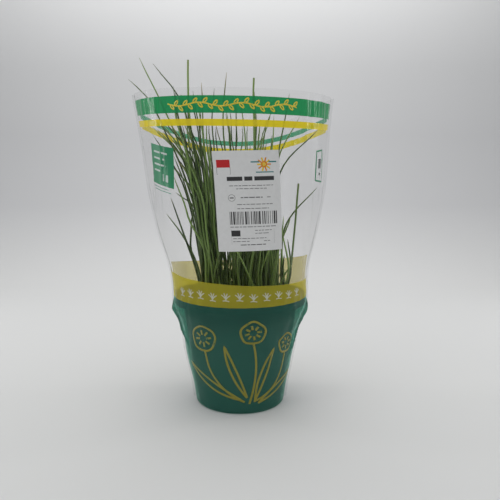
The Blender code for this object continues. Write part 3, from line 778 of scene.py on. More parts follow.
def try_leaf(tuft, draw, filling):
    """Draws one leaf of a tuft: its guide points and radius. A filling leaf crosses its tuft as it rises."""
    low, high = tuft[7]
    if filling:
        tuft = fanned(tuft)
    angle, out = draw.uniform(0, 2 * math.pi), math.sqrt(draw.random())
    root = np.array([math.cos(angle), math.sin(angle)]) * out
    head = root
    if filling:
        low -= FILL_DROP
        angle, out = draw.uniform(0, 2 * math.pi), math.sqrt(draw.random())
        head = np.array([math.cos(angle), math.sin(angle)]) * out
    tip = low + (high - low) * draw.random() ** 0.8
    sway = 5.0 * out + draw.gauss(0, 3.5)
    turn = angle + draw.gauss(0, 0.7)
    radius = LEAF_RADIUS * draw.uniform(0.72, 1.05)
    if filling:
        radius *= draw.uniform(*FILL_GIRTH)
        sway *= 1.6
    guides = []
    for share in (0, 0.25, 0.5, 0.75, 1):
        s, t = root + (head - root) * share
        place = bundle(tuft, s, t, LEAF_ROOT + (tip - LEAF_ROOT) * share)
        guides.append(place + np.array([math.cos(turn), math.sin(turn), 0]) * sway * share**2.4)
    return np.array(guides), radius


def low_leaf(draw):
    """A short, thin young leaf from anywhere between the tufts, which leans its own way."""
    left, right, front, back = LOW_SPREAD
    foot = np.array([draw.uniform(left, right), draw.uniform(front, back), LEAF_ROOT])
    while (foot[0] / right) ** 2 + (foot[1] / back) ** 2 > 1:
        foot[:2] = draw.uniform(left, right), draw.uniform(front, back)
    tip, lean, angle = draw.uniform(*LOW_TIPS), draw.gauss(0, LOW_LEAN), draw.uniform(0, 2 * math.pi)
    reach = np.array([math.cos(angle), math.sin(angle), 0.0]) * lean
    guides = []
    for share in (0, 0.35, 0.7, 1):
        guides.append(foot + reach * share**1.5 + np.array([0.0, 0.0, (tip - LEAF_ROOT) * share]))
    return np.array(guides), LEAF_RADIUS * draw.uniform(*FILL_GIRTH)


def hand_placed(rows, radius):
    """The leaves that are placed one by one, each from its foot through its other guide points."""
    return [(name, np.array([(*foot, LEAF_ROOT), *rest], float), radius) for name, foot, *rest in rows]


def plan_leaves():
    """Every leaf as (tuft name, guide points, radius): those of the solids first, then the finer ones."""
    leaves = hand_placed(STRAYS, LEAF_RADIUS)
    paths = [smooth_path(guides, LEAF_RINGS) for _, guides, _ in leaves]
    rounds = (
        (random.Random(SEED), [tuft[6] for tuft in TUFTS], TRIES, 2 * LEAF_RADIUS + LEAF_CLEARANCE, False),
        (random.Random(FILL_SEED), FILL_COUNTS, FILL_TRIES, FILL_GAP, True),
    )
    for draw, counts, tries, gap, filling in rounds:
        if filling:
            later = hand_placed(FANNED, LEAF_RADIUS * FILL_GIRTH[1])
            leaves += later
            paths += [smooth_path(guides, 2 * LEAF_RINGS) for _, guides, _ in later]
        for tuft, count in zip(TUFTS, counts):
            for _ in range(count):
                for _ in range(tries):
                    guides, radius = try_leaf(tuft, draw, filling)
                    path = smooth_path(guides, LEAF_RINGS)
                    if inside_film(path) and path_gap(path, paths) > gap:
                        leaves.append((tuft[0], guides, radius))
                        paths.append(path)
                        break
    draw = random.Random(LOW_SEED)
    for _ in range(LOW_LEAVES):
        for _ in range(FILL_TRIES):
            guides, radius = low_leaf(draw)
            path = smooth_path(guides, LEAF_RINGS)
            within = LOW_REACH[0] < path[-1][0] < LOW_REACH[1]
            if within and inside_film(path) and path_gap(path, paths) > LOW_GAP:
                nearest = min(TUFTS, key=lambda tuft: math.dist(tuft[1], guides[0][:2]))
                leaves.append((nearest[0], guides, radius))
                paths.append(path)
                break
    return leaves


def leaf_lines(name, leaves):
    """The tuft's leaves as chains of edges, each point with its girth, place along it, tone and dryness."""
    paths = []
    values = {"girth": [], "along": [], "tone": [], "dry": []}
    draw = random.Random(name)
    for guides, radius, cut, free in leaves:
        tone, phase = draw.random() ** SHADE_TONE_BIAS, draw.uniform(0, 50)
        stout = radius * OWN_GIRTH if radius > FILL_GIRTH[1] * LEAF_RADIUS else radius
        dry = draw.uniform(0.5, 1.0) if draw.random() < DRY_SHARE else draw.uniform(0.0, 0.25)
        places = []
        for i, place in enumerate(smooth_path(guides, BLADE_POINTS)):
            share = i / (BLADE_POINTS - 1)
            rise = float(np.clip((place[2] - 100.0) / 40.0, 0.0, 1.0)) * free
            common = noise.noise_vector(Vector(place) / DRIFT_SIZE)
            own = noise.noise_vector(Vector((phase, share * 3.0, 0.0)))
            drift = common * DRIFT + own * OWN_DRIFT
            places.append((place + np.array((drift.x, drift.y, 0.0)) * rise) * MM)
            girth = stout - (stout - LEAF_TIP_RADIUS) * share**2.5
            if cut:
                girth = stout * (1.0 - 0.12 * share)
            elif i == BLADE_POINTS - 1:
                girth = 0.12
            girth *= 1 + FOOT_FLARE * math.exp(-(((place[2] - LEAF_ROOT - 3) / FOOT_HEIGHT) ** 2))
            for kept, value in zip(values.values(), (girth * MM, share, tone, dry)):
                kept.append(value)
        paths.append(places)
    mesh = chains(name, paths)
    for label, kept in values.items():
        mesh.attributes.new(label, "FLOAT", "POINT").data.foreach_set("value", kept)
    return mesh


def blade_tree():
    """Grows a round, tapered and capped leaf along each chain of edges."""
    tree, given = new_tree("chive_blades", {"Sides": "NodeSocketInt", "Material": "NodeSocketMaterial"})
    line = add(tree, "GeometryNodeMeshToCurve", {"Mesh": given["Geometry"]}).outputs[0]
    girth = add(tree, "GeometryNodeInputNamedAttribute", {"Name": "girth"}, data_type="FLOAT").outputs[0]
    ring = add(tree, "GeometryNodeCurvePrimitiveCircle", {"Resolution": given["Sides"], "Radius": 1.0})
    swept = {"Curve": line, "Profile Curve": ring, "Scale": girth, "Fill Caps": True}
    blade = add(tree, "GeometryNodeCurveToMesh", swept)
    smooth = add(tree, "GeometryNodeSetShadeSmooth", {"Geometry": blade})
    deliver(tree, smooth, given["Material"])
    return tree


def leaf_skin():
    """Chive leaf: smooth cuticle, IOR 1.4, with a thin wax bloom. The green pales towards the foot."""
    material, tree, place = new_material("chive_leaf")
    along = add(tree, "ShaderNodeAttribute", attribute_name="along").outputs["Fac"]
    tone = add(tree, "ShaderNodeAttribute", attribute_name="tone").outputs["Fac"]
    dry = add(tree, "ShaderNodeAttribute", attribute_name="dry").outputs["Fac"]
    stretched = add(tree, "ShaderNodeMapping", {"Vector": place, "Scale": (1.0, 1.0, 0.12)})
    streaks = add(tree, "ShaderNodeTexNoise", {"Vector": stretched, "Scale": 900.0, "Detail": 3.0})
    # The green varies at random from leaf to leaf; its dark end is partly the leaves' own tone and partly
    # painted shade in the tufts.
    green = add(tree, "ShaderNodeMix", {0: tone, 6: srgb(LEAF_SHADE_DARK), 7: srgb(LEAF_LIGHT)}, data_type="RGBA")
    streak = add(tree, "ShaderNodeMapRange", {0: streaks, 1: 0.35, 2: 0.7, 4: 0.35})
    veined = add(tree, "ShaderNodeMix", {0: streak, 6: green, 7: srgb(LEAF_STREAK)}, data_type="RGBA")
    foot = add(tree, "ShaderNodeMapRange", {0: along, 1: 0.03, 2: 0.16, 3: 0.75, 4: 0.0})
    pale = add(tree, "ShaderNodeMix", {0: foot, 6: veined, 7: srgb(LEAF_FOOT)}, data_type="RGBA")
    tip = add(tree, "ShaderNodeMapRange", {0: along, 1: 0.9, 2: 1.0})
    dried = add(tree, "ShaderNodeMath", {0: tip, 1: dry}, operation="MULTIPLY")
    colour = add(tree, "ShaderNodeMix", {0: dried, 6: pale, 7: srgb(LEAF_DRY)}, data_type="RGBA")
    rough = add(tree, "ShaderNodeMapRange", {0: streaks, 1: 0.3, 2: 0.7, 3: 0.36, 4: 0.5})
    bump = add(tree, "ShaderNodeBump", {"Height": streaks, "Strength": 0.2, "Distance": 0.0001})
    skin = {
        "Base Color": colour,
        "Roughness": rough,
        "Normal": bump,
        "IOR": 1.4,
        "Sheen Weight": 0.15,
        "Sheen Roughness": 0.4,
    }
    coat(tree, skin)
    return material


noise.seed_set(SEED)
all_leaves = plan_leaves()
blades = blade_tree()
chive_leaf = leaf_skin()
for tuft in TUFTS:
    own = [
        (guides, radius, i in CUT_STRAYS, STRAY_DRIFT if i < len(STRAYS) else 1.0)
        for i, (name, guides, radius) in enumerate(all_leaves)
        if name == tuft[0]
    ]
    values = {"Sides": BLADE_SIDES, "Material": chive_leaf}
    leaves = grown("leaves_" + tuft[0], leaf_lines("leaves_" + tuft[0], own), blades, values)
    settle(leaves, "chives", "chives_" + tuft[0])


# Sleeve film: cast polypropylene, printed with translucent green and yellow inks, its top open and its two
# panels welded down the sides. Clear film shows only by its gloss, a slight haze and its white creases.
# Near the welds these creases are partly whitened film and partly painted highlight streaks.

THIN_INKS = ("#3f8776", "#e2d638")
DENSE_INKS = ("#1a9056", "#f5dc28")
THIN_SEEN_THROUGH = {"front": ("#7cc0ac", "#cbc345"), "back": ("#7cc0ac", "#f3e8b4")}
DENSE_SEEN_THROUGH = {"front": ("#2cc46a", "#fff000"), "back": ("#8adcb4", "#fff14a")}
THIN_COVER = 0.42
FILM_WHITE = "#f8f8f8"
CLEAR_TINT = "#fcfcfc"
DENSE_COVER = {"front": 0.78, "back": 0.55}
# Painted shade: in the green foot the ink thins from 72 to 92 mm up, so that more of the black pot shows
# under the collar.
COLLAR_SHADE_COVER = 0.72
COLLAR_SHADE_FROM = 72.0
COLLAR_SHADE_TO = 92.0
CLEAR_COVER = 0.0015
CLEAR_GLOSS = 0.2
GLANCE_POWER = 3.0
STREAK_WIDTH = 3.2
STREAK_STRETCH = 0.06
CRUMPLE_SIZE = 9.0
BASE_TOP = 99.7
YELLOW_TOP = {"front": (120.5, -0.04), "back": (131.5, 0.045)}
STRIPE = {"front": (248.6, 253.8), "back": (248.0, 254.0)}
EDGE_BAND = {"front": (258.2, 271.0), "back": (257.2, 262.2)}
UNPRINTED_EDGE = 2.6


def film_gloss(tree):
    """How much clear film shows, from either side: hardly at all face on, and more towards grazing angles."""
    turned = add(tree, "ShaderNodeLayerWeight", {"Blend": 0.5}).outputs["Facing"]
    glancing = add(tree, "ShaderNodeMath", {0: turned, 1: GLANCE_POWER}, operation="POWER")
    return add(tree, "ShaderNodeMapRange", {0: glancing, 3: CLEAR_COVER, 4: CLEAR_GLOSS})


def printed_film(side):
    """Polypropylene film, IOR 1.5: a mirror-like sheet at grazing angles, tinted where it is printed."""
    material, tree, place = new_material("printed_film_" + side)
    sheet = add(tree, "ShaderNodeSeparateXYZ", {0: add(tree, "ShaderNodeUVMap", uv_map="film")})
    across, height = sheet.outputs[0], sheet.outputs[1]
    gap = add(tree, "ShaderNodeAttribute", attribute_name="weld_gap").outputs["Fac"]

    def band(low, high):
        above = add(tree, "ShaderNodeMath", {0: height, 1: low}, operation="GREATER_THAN")
        below = add(tree, "ShaderNodeMath", {0: height, 1: high}, operation="LESS_THAN")
        return add(tree, "ShaderNodeMath", {0: above, 1: below}, operation="MULTIPLY")

    middle_top, tilt = YELLOW_TOP[side]
    slope = add(tree, "ShaderNodeMath", {0: across, 1: tilt, 2: middle_top * MM}, operation="MULTIPLY_ADD")
    low_yellow, low_green = band(BASE_TOP * MM, slope.outputs[0]), band(0.0, BASE_TOP * MM)
    high_yellow, high_green = (band(low * MM, high * MM) for low, high in (STRIPE[side], EDGE_BAND[side]))
    yellow, green, dense = (
        add(tree, "ShaderNodeMath", {0: first, 1: second}, operation="ADD")
        for first, second in ((low_yellow, high_yellow), (low_green, high_green), (high_yellow, high_green))
    )
    inside = add(tree, "ShaderNodeMath", {0: gap, 1: UNPRINTED_EDGE * MM}, operation="GREATER_THAN")
    any_ink = add(tree, "ShaderNodeMath", {0: yellow, 1: green}, operation="ADD")
    ink = add(tree, "ShaderNodeMath", {0: any_ink, 1: inside}, operation="MULTIPLY")
    thin_ink, dense_ink, thin_through, dense_through = (
        add(tree, "ShaderNodeMix", {0: yellow, 6: srgb(first), 7: srgb(second)}, data_type="RGBA")
        for first, second in (THIN_INKS, DENSE_INKS, THIN_SEEN_THROUGH[side], DENSE_SEEN_THROUGH[side])
    )
    ink_colour = add(tree, "ShaderNodeMix", {0: dense, 6: thin_ink, 7: dense_ink}, data_type="RGBA")
    through = add(tree, "ShaderNodeMix", {0: dense, 6: thin_through, 7: dense_through}, data_type="RGBA")
    colour = add(tree, "ShaderNodeMix", {0: ink, 6: srgb(FILM_WHITE), 7: ink_colour}, data_type="RGBA")
    seen = add(tree, "ShaderNodeMix", {0: ink, 6: srgb(CLEAR_TINT), 7: through}, data_type="RGBA")
    uneven = add(tree, "ShaderNodeTexNoise", {"Vector": place, "Scale": 90.0, "Detail": 4.0})
    density = add(tree, "ShaderNodeMapRange", {0: uneven, 1: 0.3, 2: 0.7, 3: 0.93, 4: 1.05})
    # Painted shade: the foot's ink cover falls towards the collar, which darkens it there; elsewhere the
    # ink's density varies at random.
    collar_shade_range = {0: height, 1: COLLAR_SHADE_FROM * MM, 2: COLLAR_SHADE_TO * MM, 3: 1.0, 4: COLLAR_SHADE_COVER}
    collar_shade = add(tree, "ShaderNodeMapRange", collar_shade_range)
    darker = add(tree, "ShaderNodeMix", {0: low_green, 2: density, 3: collar_shade})
    cover = add(tree, "ShaderNodeMix", {0: dense, 2: THIN_COVER, 3: DENSE_COVER[side]})
    ink_cover = add(tree, "ShaderNodeMath", {0: cover, 1: darker}, operation="MULTIPLY")
    flat = add(tree, "ShaderNodeCombineXYZ", {0: across, 1: height})
    stretched = add(tree, "ShaderNodeMapping", {"Vector": flat, "Scale": (1.0, STREAK_STRETCH, 1.0)})
    fine = {"Vector": stretched, "Scale": 1 / (STREAK_WIDTH * MM), "Detail": 3.0, "Distortion": 0.4}
    fibres = add(tree, "ShaderNodeTexNoise", fine)
    # Painted highlight: stretched streaks near the welds where the film turns whiter and more mirror-like,
    # partly crease whitening and partly painted glints.
    whitening_and_glint_streaks = add(tree, "ShaderNodeMapRange", {0: fibres, 1: 0.6, 2: 0.75, 4: 0.42})
    near_weld = add(tree, "ShaderNodeMapRange", {0: gap, 1: 0.004, 2: 0.024, 3: 1.0, 4: 0.0})
    white = add(tree, "ShaderNodeMath", {0: whitening_and_glint_streaks, 1: near_weld}, operation="MULTIPLY")
    clear = add(tree, "ShaderNodeMath", {0: film_gloss(tree), 1: white}, operation="ADD")
    whole = add(tree, "ShaderNodeMix", {0: ink, 2: clear, 3: ink_cover})
    metal = add(tree, "ShaderNodeMix", {0: ink, 2: 0.55, 3: 0.0})
    coarse = {"Vector": place, "Scale": 1 / (CRUMPLE_SIZE * MM), "Detail": 4.0, "Roughness": 0.55}
    crumple = add(tree, "ShaderNodeTexNoise", coarse)
    relief = add(tree, "ShaderNodeMath", {0: crumple, 1: 0.8, 2: fibres}, operation="MULTIPLY_ADD")
    bump = add(tree, "ShaderNodeBump", {"Height": relief, "Strength": 0.4, "Distance": 0.0006})
    skin = {"Base Color": colour, "Metallic": metal, "Roughness": 0.16, "IOR": 1.5, "Normal": bump}
    coat(tree, skin, whole, seen)
    return material


def inner_film():
    """The film's inner face: clear, so that the ink shows once, with the same gloss."""
    material, tree, place = new_material("film_inner_face")
    fine = add(tree, "ShaderNodeTexNoise", {"Vector": place, "Scale": 300.0, "Detail": 2.0})
    bump = add(tree, "ShaderNodeBump", {"Height": fine, "Strength": 0.1, "Distance": 0.0003})
    skin = {"Base Color": srgb(FILM_WHITE), "Metallic": 0.6, "Roughness": 0.16, "Normal": bump}
    coat(tree, skin, film_gloss(tree), srgb(CLEAR_TINT))
    return material


def film_panel(name, film, front, *materials):
    """The net of one panel as a thin closed sheet. Its UV map is the film laid flat, in metres."""
    rows, columns = film["run"].shape
    corners = []
    for i in range(rows - 1):
        for j in range(columns - 1):
            a = i * columns + j
            ring = (a, a + 1, a + 1 + columns, a + columns)
            corners.append(ring if front else ring[::-1])
    mesh = bpy.data.meshes.new(name)
    mesh.from_pydata((film["points"] * MM).reshape(-1, 3).tolist(), [], corners)
    gaps = np.maximum(film["seam"][:, None] - np.abs(film["run"]), 0.0) * MM
    mesh.attributes.new("weld_gap", "FLOAT", "POINT").data.foreach_set("value", gaps.ravel())
    flat = np.stack([film["run"] * MM, np.repeat(film["heights"][:, None] * MM, columns, axis=1)], axis=2)
    order = np.empty(len(mesh.loops), int)
    mesh.loops.foreach_get("vertex_index", order)
    mesh.uv_layers.new(name="film").data.foreach_set("uv", flat.reshape(-1, 2)[order].ravel())
    mesh.shade_smooth()
    return walled(show(name, mesh, *materials), FILM_THICKNESS, 1)


front_film = film_surface(True, True)
back_film = film_surface(False, True)
inner_face = inner_film()
settle(film_panel("film_front", front_film, True, printed_film("front"), inner_face), "film", "sleeve_front")
settle(film_panel("film_back", back_film, False, printed_film("back"), inner_face), "film", "sleeve_back")


# Print on the sleeve: line drawings in opaque ink, laid on the film's outside. Round chive flowers and
# slender blades run over the green foot, a sprig along the top band, small white shoots along the yellow.

INK_THICKNESS = 0.04
INK_LIFT = 0.03
GARDEN_LINE = 1.9
SPRIG_LINE = 1.0
SHOOT_LINE = 0.9
LINE_YELLOW = "#8f8625"
BAND_YELLOW = "#e6cf3a"
BAND_WHITE = "#c9c8b4"


def printing_ink(name, colour, rough=0.35):
    """Opaque flexographic ink: thin, slightly mottled where it didn't wet the film evenly."""
    material, tree, place = new_material(name)
    mottle = add(tree, "ShaderNodeTexNoise", {"Vector": place, "Scale": 900.0, "Detail": 3.0})
    share = add(tree, "ShaderNodeMapRange", {0: mottle, 1: 0.3, 2: 0.7, 4: 0.22})
    darker = tuple(0.72 * v for v in srgb(colour)[:3]) + (1.0,)
    tint = add(tree, "ShaderNodeMix", {0: share, 6: srgb(colour), 7: darker}, data_type="RGBA")
    coat(tree, {"Base Color": tint, "Roughness": rough})
    return material


def ribbon_tree():
    """Draws each chain of edges as a flat, thin line of ink."""
    sizes = {"Width": "NodeSocketFloat", "Thickness": "NodeSocketFloat", "Material": "NodeSocketMaterial"}
    tree, given = new_tree("ink_lines", sizes)
    line = add(tree, "GeometryNodeMeshToCurve", {"Mesh": given["Geometry"]})
    flat = add(tree, "GeometryNodeSetCurveNormal", {"Curve": line}, mode="Z_UP")
    nib = add(tree, "GeometryNodeCurvePrimitiveQuadrilateral", {0: given["Width"], 1: given["Thickness"]})
    swept = {"Curve": flat, "Profile Curve": nib, "Fill Caps": True}
    drawn = add(tree, "GeometryNodeCurveToMesh", swept)
    deliver(tree, drawn, given["Material"])
    return tree


def wrap(piece, film, lift):
    """Lays flat artwork on the film: its x along the film, its y as print height and its z off the film."""
    for vertex in piece.data.vertices:
        x, v, z = vertex.co / MM
        vertex.co = on_film(film, x, v, lift + z)
    piece.data.update()
    return piece


def line_art(name, paths, width, material, film, lift=INK_LIFT, slot="film"):
    """Line drawing: open or closed paths in millimetres of film."""
    mesh = chains(name, [[(x * MM, v * MM, 0.0) for x, v in path] for path in paths])
    values = {"Width": width * MM, "Thickness": INK_THICKNESS * MM, "Material": material}
    settle(wrap(grown(name, mesh, ribbons, values), film, lift), slot)


def bend(start, control, end, count=24):
    """Points of a quadratic curve."""
    points = []
    for t in (i / (count - 1) for i in range(count)):
        ends = zip(start, control, end)
        points.append(tuple((1 - t) ** 2 * a + 2 * t * (1 - t) * b + t * t * c for a, b, c in ends))
    return points


def around(centre, radius, angle):
    return centre[0] + radius * math.cos(angle), centre[1] + radius * math.sin(angle)


def ring_path(centre, radius, count=32, wobble=0.0):
    angles = [2 * math.pi * i / count for i in range(count + 1)]
    return [around(centre, radius + wobble * math.sin(5 * a), a) for a in angles]


def flower(centre, radius, florets):
    """A chive flower head: a round outline with short strokes that spread from its middle."""
    near, far = radius * 0.3, radius * 0.68
    paths = [ring_path(centre, radius, 36, 0.35)]
    for i in range(florets):
        a = 2 * math.pi * (i + 0.25) / florets
        paths.append([around(centre, r, a) for r in (near, (near + far) / 2, far)])
    return paths


def slender_blade(foot, tip, belly):
    """A long pointed leaf drawn in outline, wider on one side."""
    middle = ((foot[0] + tip[0]) / 2, (foot[1] + tip[1]) / 2)
    across = Vector((tip[1] - foot[1], foot[0] - tip[0])).normalized()
    left = (middle[0] - across.x * belly, middle[1] - across.y * belly)
    right = (middle[0] + across.x * belly * 0.35, middle[1] + across.y * belly * 0.35)
    return [bend(foot, left, tip) + bend(tip, right, foot)[1:]]


ribbons = ribbon_tree()
garden = (
    flower((-33, 69), 12.0, 8)
    + flower((11, 77), 10.5, 8)
    + flower((46, 62), 9.0, 7)
    + [bend((4, 12), (-26, 26), (-31, 57)), bend((8, 10), (18, 42), (11.5, 66.5))]
    + [bend((12, 12), (42, 22), (45, 53))]
    + slender_blade((1, 14), (-52, 42), 9.0)
    + slender_blade((6, 16), (-13, 64), 7.5)
    + slender_blade((13, 13), (31, 60), 8.0)
    + slender_blade((16, 10), (60, 31), 8.0)
)
line_art("print_garden_front", garden, GARDEN_LINE, printing_ink("line_yellow", LINE_YELLOW), front_film)
line_art(
    "print_garden_back",
    [[(-x, v) for x, v in path] for path in garden],
    GARDEN_LINE,
    printing_ink("line_yellow_back", LINE_YELLOW),
    back_film,
)

sprig = []
sprig_middle = sum(EDGE_BAND["front"]) / 2
sprig.append([(x, sprig_middle + 1.3 * math.sin(x / 5.2)) for x in np.linspace(-51, 51, 160)])
for i in range(26):
    x = -48.5 + i * 3.87
    side = 1 if i % 2 else -1
    foot = (x, sprig_middle + 1.3 * math.sin(x / 5.2))
    tip = (x + 3.2, foot[1] + side * 3.6)
    sprig.append(bend(foot, (x + 0.2, foot[1] + side * 3.0), tip, 8))
    sprig.append(bend(foot, (x + 3.1, foot[1] + side * 0.6), tip, 8))
line_art("print_sprig", sprig, SPRIG_LINE, printing_ink("band_yellow", BAND_YELLOW), front_film)

shoots = []
for i in range(11):
    x, foot = -56 + i * 11.2, 106.2 + 0.5 * (i % 3)
    for spread, reach in ((-3.4, 4.6), (-1.2, 6.4), (1.6, 6.0), (3.8, 4.2)):
        shoots.append(bend((x, foot), (x + 0.2 * spread, foot + 0.6 * reach), (x + spread, foot + reach), 8))
    shoots.append(bend((x - 2.6, foot - 1.0), (x, foot - 0.2), (x + 2.8, foot - 1.2), 8))
line_art("print_shoots", shoots, SHOOT_LINE, printing_ink("band_white", BAND_WHITE), front_film)


# Panels on the sleeve: a solid green panel near the left weld with plain white bars, and a small green frame
# with a grey block near the right weld. Both are flat ink.

PANEL_GREEN = "#1f8a5c"
PANEL_WHITE = "#c8d4ce"
FINE_GREEN = "#5f9a83"
EMBLEM_GREY = "#5b5f5e"
PANEL_CORNERS = ((-83.2, 203.5), (-50.7, 199.0), (-48.6, 231.5), (-77.6, 235.5))
EMBLEM_CORNERS = ((75.5, 207.0), (92.5, 205.0), (90.2, 232.0), (76.5, 231.0))
PATCH_CELL = 2.5


def patches(name, boxes, materials, film, lift, place, cell):
    """Flat blocks of ink, each (left, low, right, high, material number), in cells small enough to bend."""
    mesh = bpy.data.meshes.new(name)
    net = bmesh.new()
    for left, low, right, high, number in boxes:
        columns = max(1, math.ceil((right - left) / cell))
        rows = max(1, math.ceil((high - low) / cell))
        xs = [(left + (right - left) * i / columns) * MM for i in range(columns + 1)]
        ys = [(low + (high - low) * j / rows) * MM for j in range(rows + 1)]
        made = [[net.verts.new((x, y, 0.0)) for x in xs] for y in ys]
        for j in range(rows):
            for i in range(columns):
                face = net.faces.new((made[j][i], made[j][i + 1], made[j + 1][i + 1], made[j + 1][i]))
                face.material_index = number
    for vertex in net.verts:
        x, y = place(vertex.co.x / MM, vertex.co.y / MM)
        vertex.co = (x * MM, y * MM, 0.0)
    net.to_mesh(mesh)
    net.free()
    return walled(wrap(show(name, mesh, *materials), film, lift), INK_THICKNESS)


def skewed(corners):
    """Lays a unit square in a printed shape that the slant of the film has skewed."""
    low_left, low_right, top_right, top_left = (np.array(corner) for corner in corners)

    def place(x, y):
        low = low_left + (low_right - low_left) * x
        return low + (top_left + (top_right - top_left) * x - low) * y

    return place


on_panel, on_emblem = skewed(PANEL_CORNERS), skewed(EMBLEM_CORNERS)


def panel_print(name, boxes, colour, where, lift):
    """Blocks of one ink in the panel, each (left, low, right, high) as shares of its sides."""
    cells = [(*box, 0) for box in boxes]
    piece = patches(name, cells, [printing_ink("ink_" + name, colour)], front_film, lift, where, 0.1)
    settle(piece, "film")


panel_print("panel_ground", [(0.0, 0.0, 1.0, 1.0)], PANEL_GREEN, on_panel, 0.07)
widths = (0.62, 0.5, 0.56, 0.3)
bars = [(0.16, 0.8 - 0.155 * i, 0.16 + width, 0.845 - 0.155 * i) for i, width in enumerate(widths)]
panel_print("panel_bars", [*bars, (0.58, 0.12, 0.8, 0.3)], PANEL_WHITE, on_panel, 0.12)
panel_print("panel_rules", [(0.1, -0.08, 0.8, -0.06), (0.16, -0.15, 0.9, -0.13)], FINE_GREEN, on_panel, 0.07)
panel_print("emblem_block", [(0.32, 0.42, 0.78, 0.74), (0.42, 0.2, 0.7, 0.28)], EMBLEM_GREY, on_emblem, 0.07)
emblem_outline = [(0.0, 0.0), (1.0, 0.0), (1.0, 1.0), (0.0, 1.0), (0.0, 0.0)]
outline_points = [
    on_emblem(a[0] + (b[0] - a[0]) * i / 8, a[1] + (b[1] - a[1]) * i / 8)
    for a, b in zip(emblem_outline, emblem_outline[1:])
    for i in range(8)
]
outline_points.append(outline_points[0])
line_art("emblem_frame", [outline_points], 1.3, printing_ink("emblem_green", PANEL_GREEN), front_film)


# Label: a white paper sticker on the front film, thermally printed in grey with a few spots of colour. It is
# matt and slightly fibrous, and follows the film without its wrinkles.

LABEL_TURN = math.radians(2.2)
LABEL_OUT = 0.65
PAPER_WHITE = "#e6e6e6"
PAPER_SHADE = "#d9d9d8"
INKS = ("#2f2f30", "#6a6a6a", "#9c9c9c", "#c4151d", "#e08a12", "#2e7f80", "#eec83a")
DARK, GREY, FAINT, RED, ORANGE, TEAL, YELLOW = range(len(INKS))


def on_label(x, y):
    """Label millimetres from its top left corner, y down, to the film's millimetres."""
    along, up = x - LABEL_WIDTH / 2, LABEL_HEIGHT / 2 - y
    return (
        LABEL_X + along * math.cos(LABEL_TURN) - up * math.sin(LABEL_TURN),
        LABEL_V + along * math.sin(LABEL_TURN) + up * math.cos(LABEL_TURN),
    )


def label_paper():
    """Coated label paper: matt, IOR 1.5, with a faint cloudy fibre in its white."""
    material, tree, place = new_material("label_paper")
    cloud = add(tree, "ShaderNodeTexNoise", {"Vector": place, "Scale": 350.0, "Detail": 5.0})
    colour = add(
        tree,
        "ShaderNodeMix",
        {0: cloud, 6: srgb(PAPER_WHITE), 7: srgb(PAPER_SHADE)},
        data_type="RGBA",
    )
    fibre = add(tree, "ShaderNodeTexNoise", {"Vector": place, "Scale": 2500.0, "Detail": 2.0})
    bump = add(tree, "ShaderNodeBump", {"Height": fibre, "Strength": 0.15, "Distance": 0.00005})
    skin = {"Base Color": colour, "Roughness": 0.6, "Normal": bump}
    coat(tree, skin)
    return material


def dashes(left, right, y, height, number, draw):
    """A line of short dashes of uneven length."""
    made, x = [], left
    while x < right - 0.8:
        width = min(draw.uniform(1.6, 4.6), right - x)
        made.append((x, y, x + width, y + height, number))
        x += width + 0.7
    return made


smooth_front = film_surface(True, False)
paper_box = [(0.0, 0.0, LABEL_WIDTH, LABEL_HEIGHT, 0)]
paper = patches("label_paper", paper_box, [label_paper()], smooth_front, LABEL_OUT, on_label, PATCH_CELL)
settle(paper, "label", "label")

draw = random.Random(9)
w, h = LABEL_WIDTH, LABEL_HEIGHT
label_boxes = [
    (0.05 * w, 0.085 * h, 0.25 * w, 0.16 * h, RED),
    (0.56 * w, 0.105 * h, 0.69 * w, 0.117 * h, TEAL),
    (0.83 * w, 0.105 * h, 0.95 * w, 0.117 * h, TEAL),
    (0.63 * w, 0.205 * h, 0.9 * w, 0.215 * h, TEAL),
    (0.19 * w, 0.25 * h, 0.42 * w, 0.29 * h, DARK),
    (0.45 * w, 0.25 * h, 0.57 * w, 0.29 * h, DARK),
    (0.6 * w, 0.25 * h, 0.9 * w, 0.29 * h, DARK),
    (0.215 * w, 0.452 * h, 0.275 * w, 0.462 * h, DARK),
    (0.21 * w, 0.785 * h, 0.345 * w, 0.845 * h, DARK),
]
for first, last, y, height, ink in (
    (0.22, 0.88, 0.335, 0.5, GREY),
    (0.32, 0.78, 0.365, 0.5, GREY),
    (0.38, 0.71, 0.45, 0.8, GREY),
    (0.78, 0.86, 0.45, 0.8, FAINT),
    (0.32, 0.86, 0.52, 0.55, GREY),
    (0.32, 0.8, 0.562, 0.55, GREY),
    (0.2, 0.9, 0.745, 0.8, FAINT),
    (0.57, 0.86, 0.785, 0.5, GREY),
    (0.57, 0.8, 0.815, 0.5, GREY),
    (0.23, 0.74, 0.865, 0.5, GREY),
    (0.23, 0.5, 0.895, 0.5, GREY),
    (0.7, 0.8, 0.895, 0.5, GREY),
    (0.34, 0.74, 0.93, 0.6, DARK),
):
    label_boxes += dashes(first * w, last * w, y * h, height, ink, draw)
edge = 0.2 * w
while edge < 0.92 * w:
    width = draw.choice((0.45, 0.45, 0.85, 1.25))
    label_boxes.append((edge, 0.595 * h, edge + width, 0.725 * h, DARK if draw.random() < 0.6 else GREY))
    edge += width + draw.choice((0.5, 0.5, 0.8, 1.3))
ink_materials = [printing_ink(f"label_ink_{i}", colour, 0.5) for i, colour in enumerate(INKS)]
label_print = patches(
    "label_print", label_boxes, ink_materials, smooth_front, LABEL_OUT + INK_THICKNESS, on_label, PATCH_CELL
)
settle(label_print, "label")


def label_lines(name, paths, width, number):
    """Line work on the label."""
    moved = [[on_label(x, y) for x, y in path] for path in paths]
    line_art(name, moved, width, ink_materials[number], smooth_front, LABEL_OUT + INK_THICKNESS, "label")


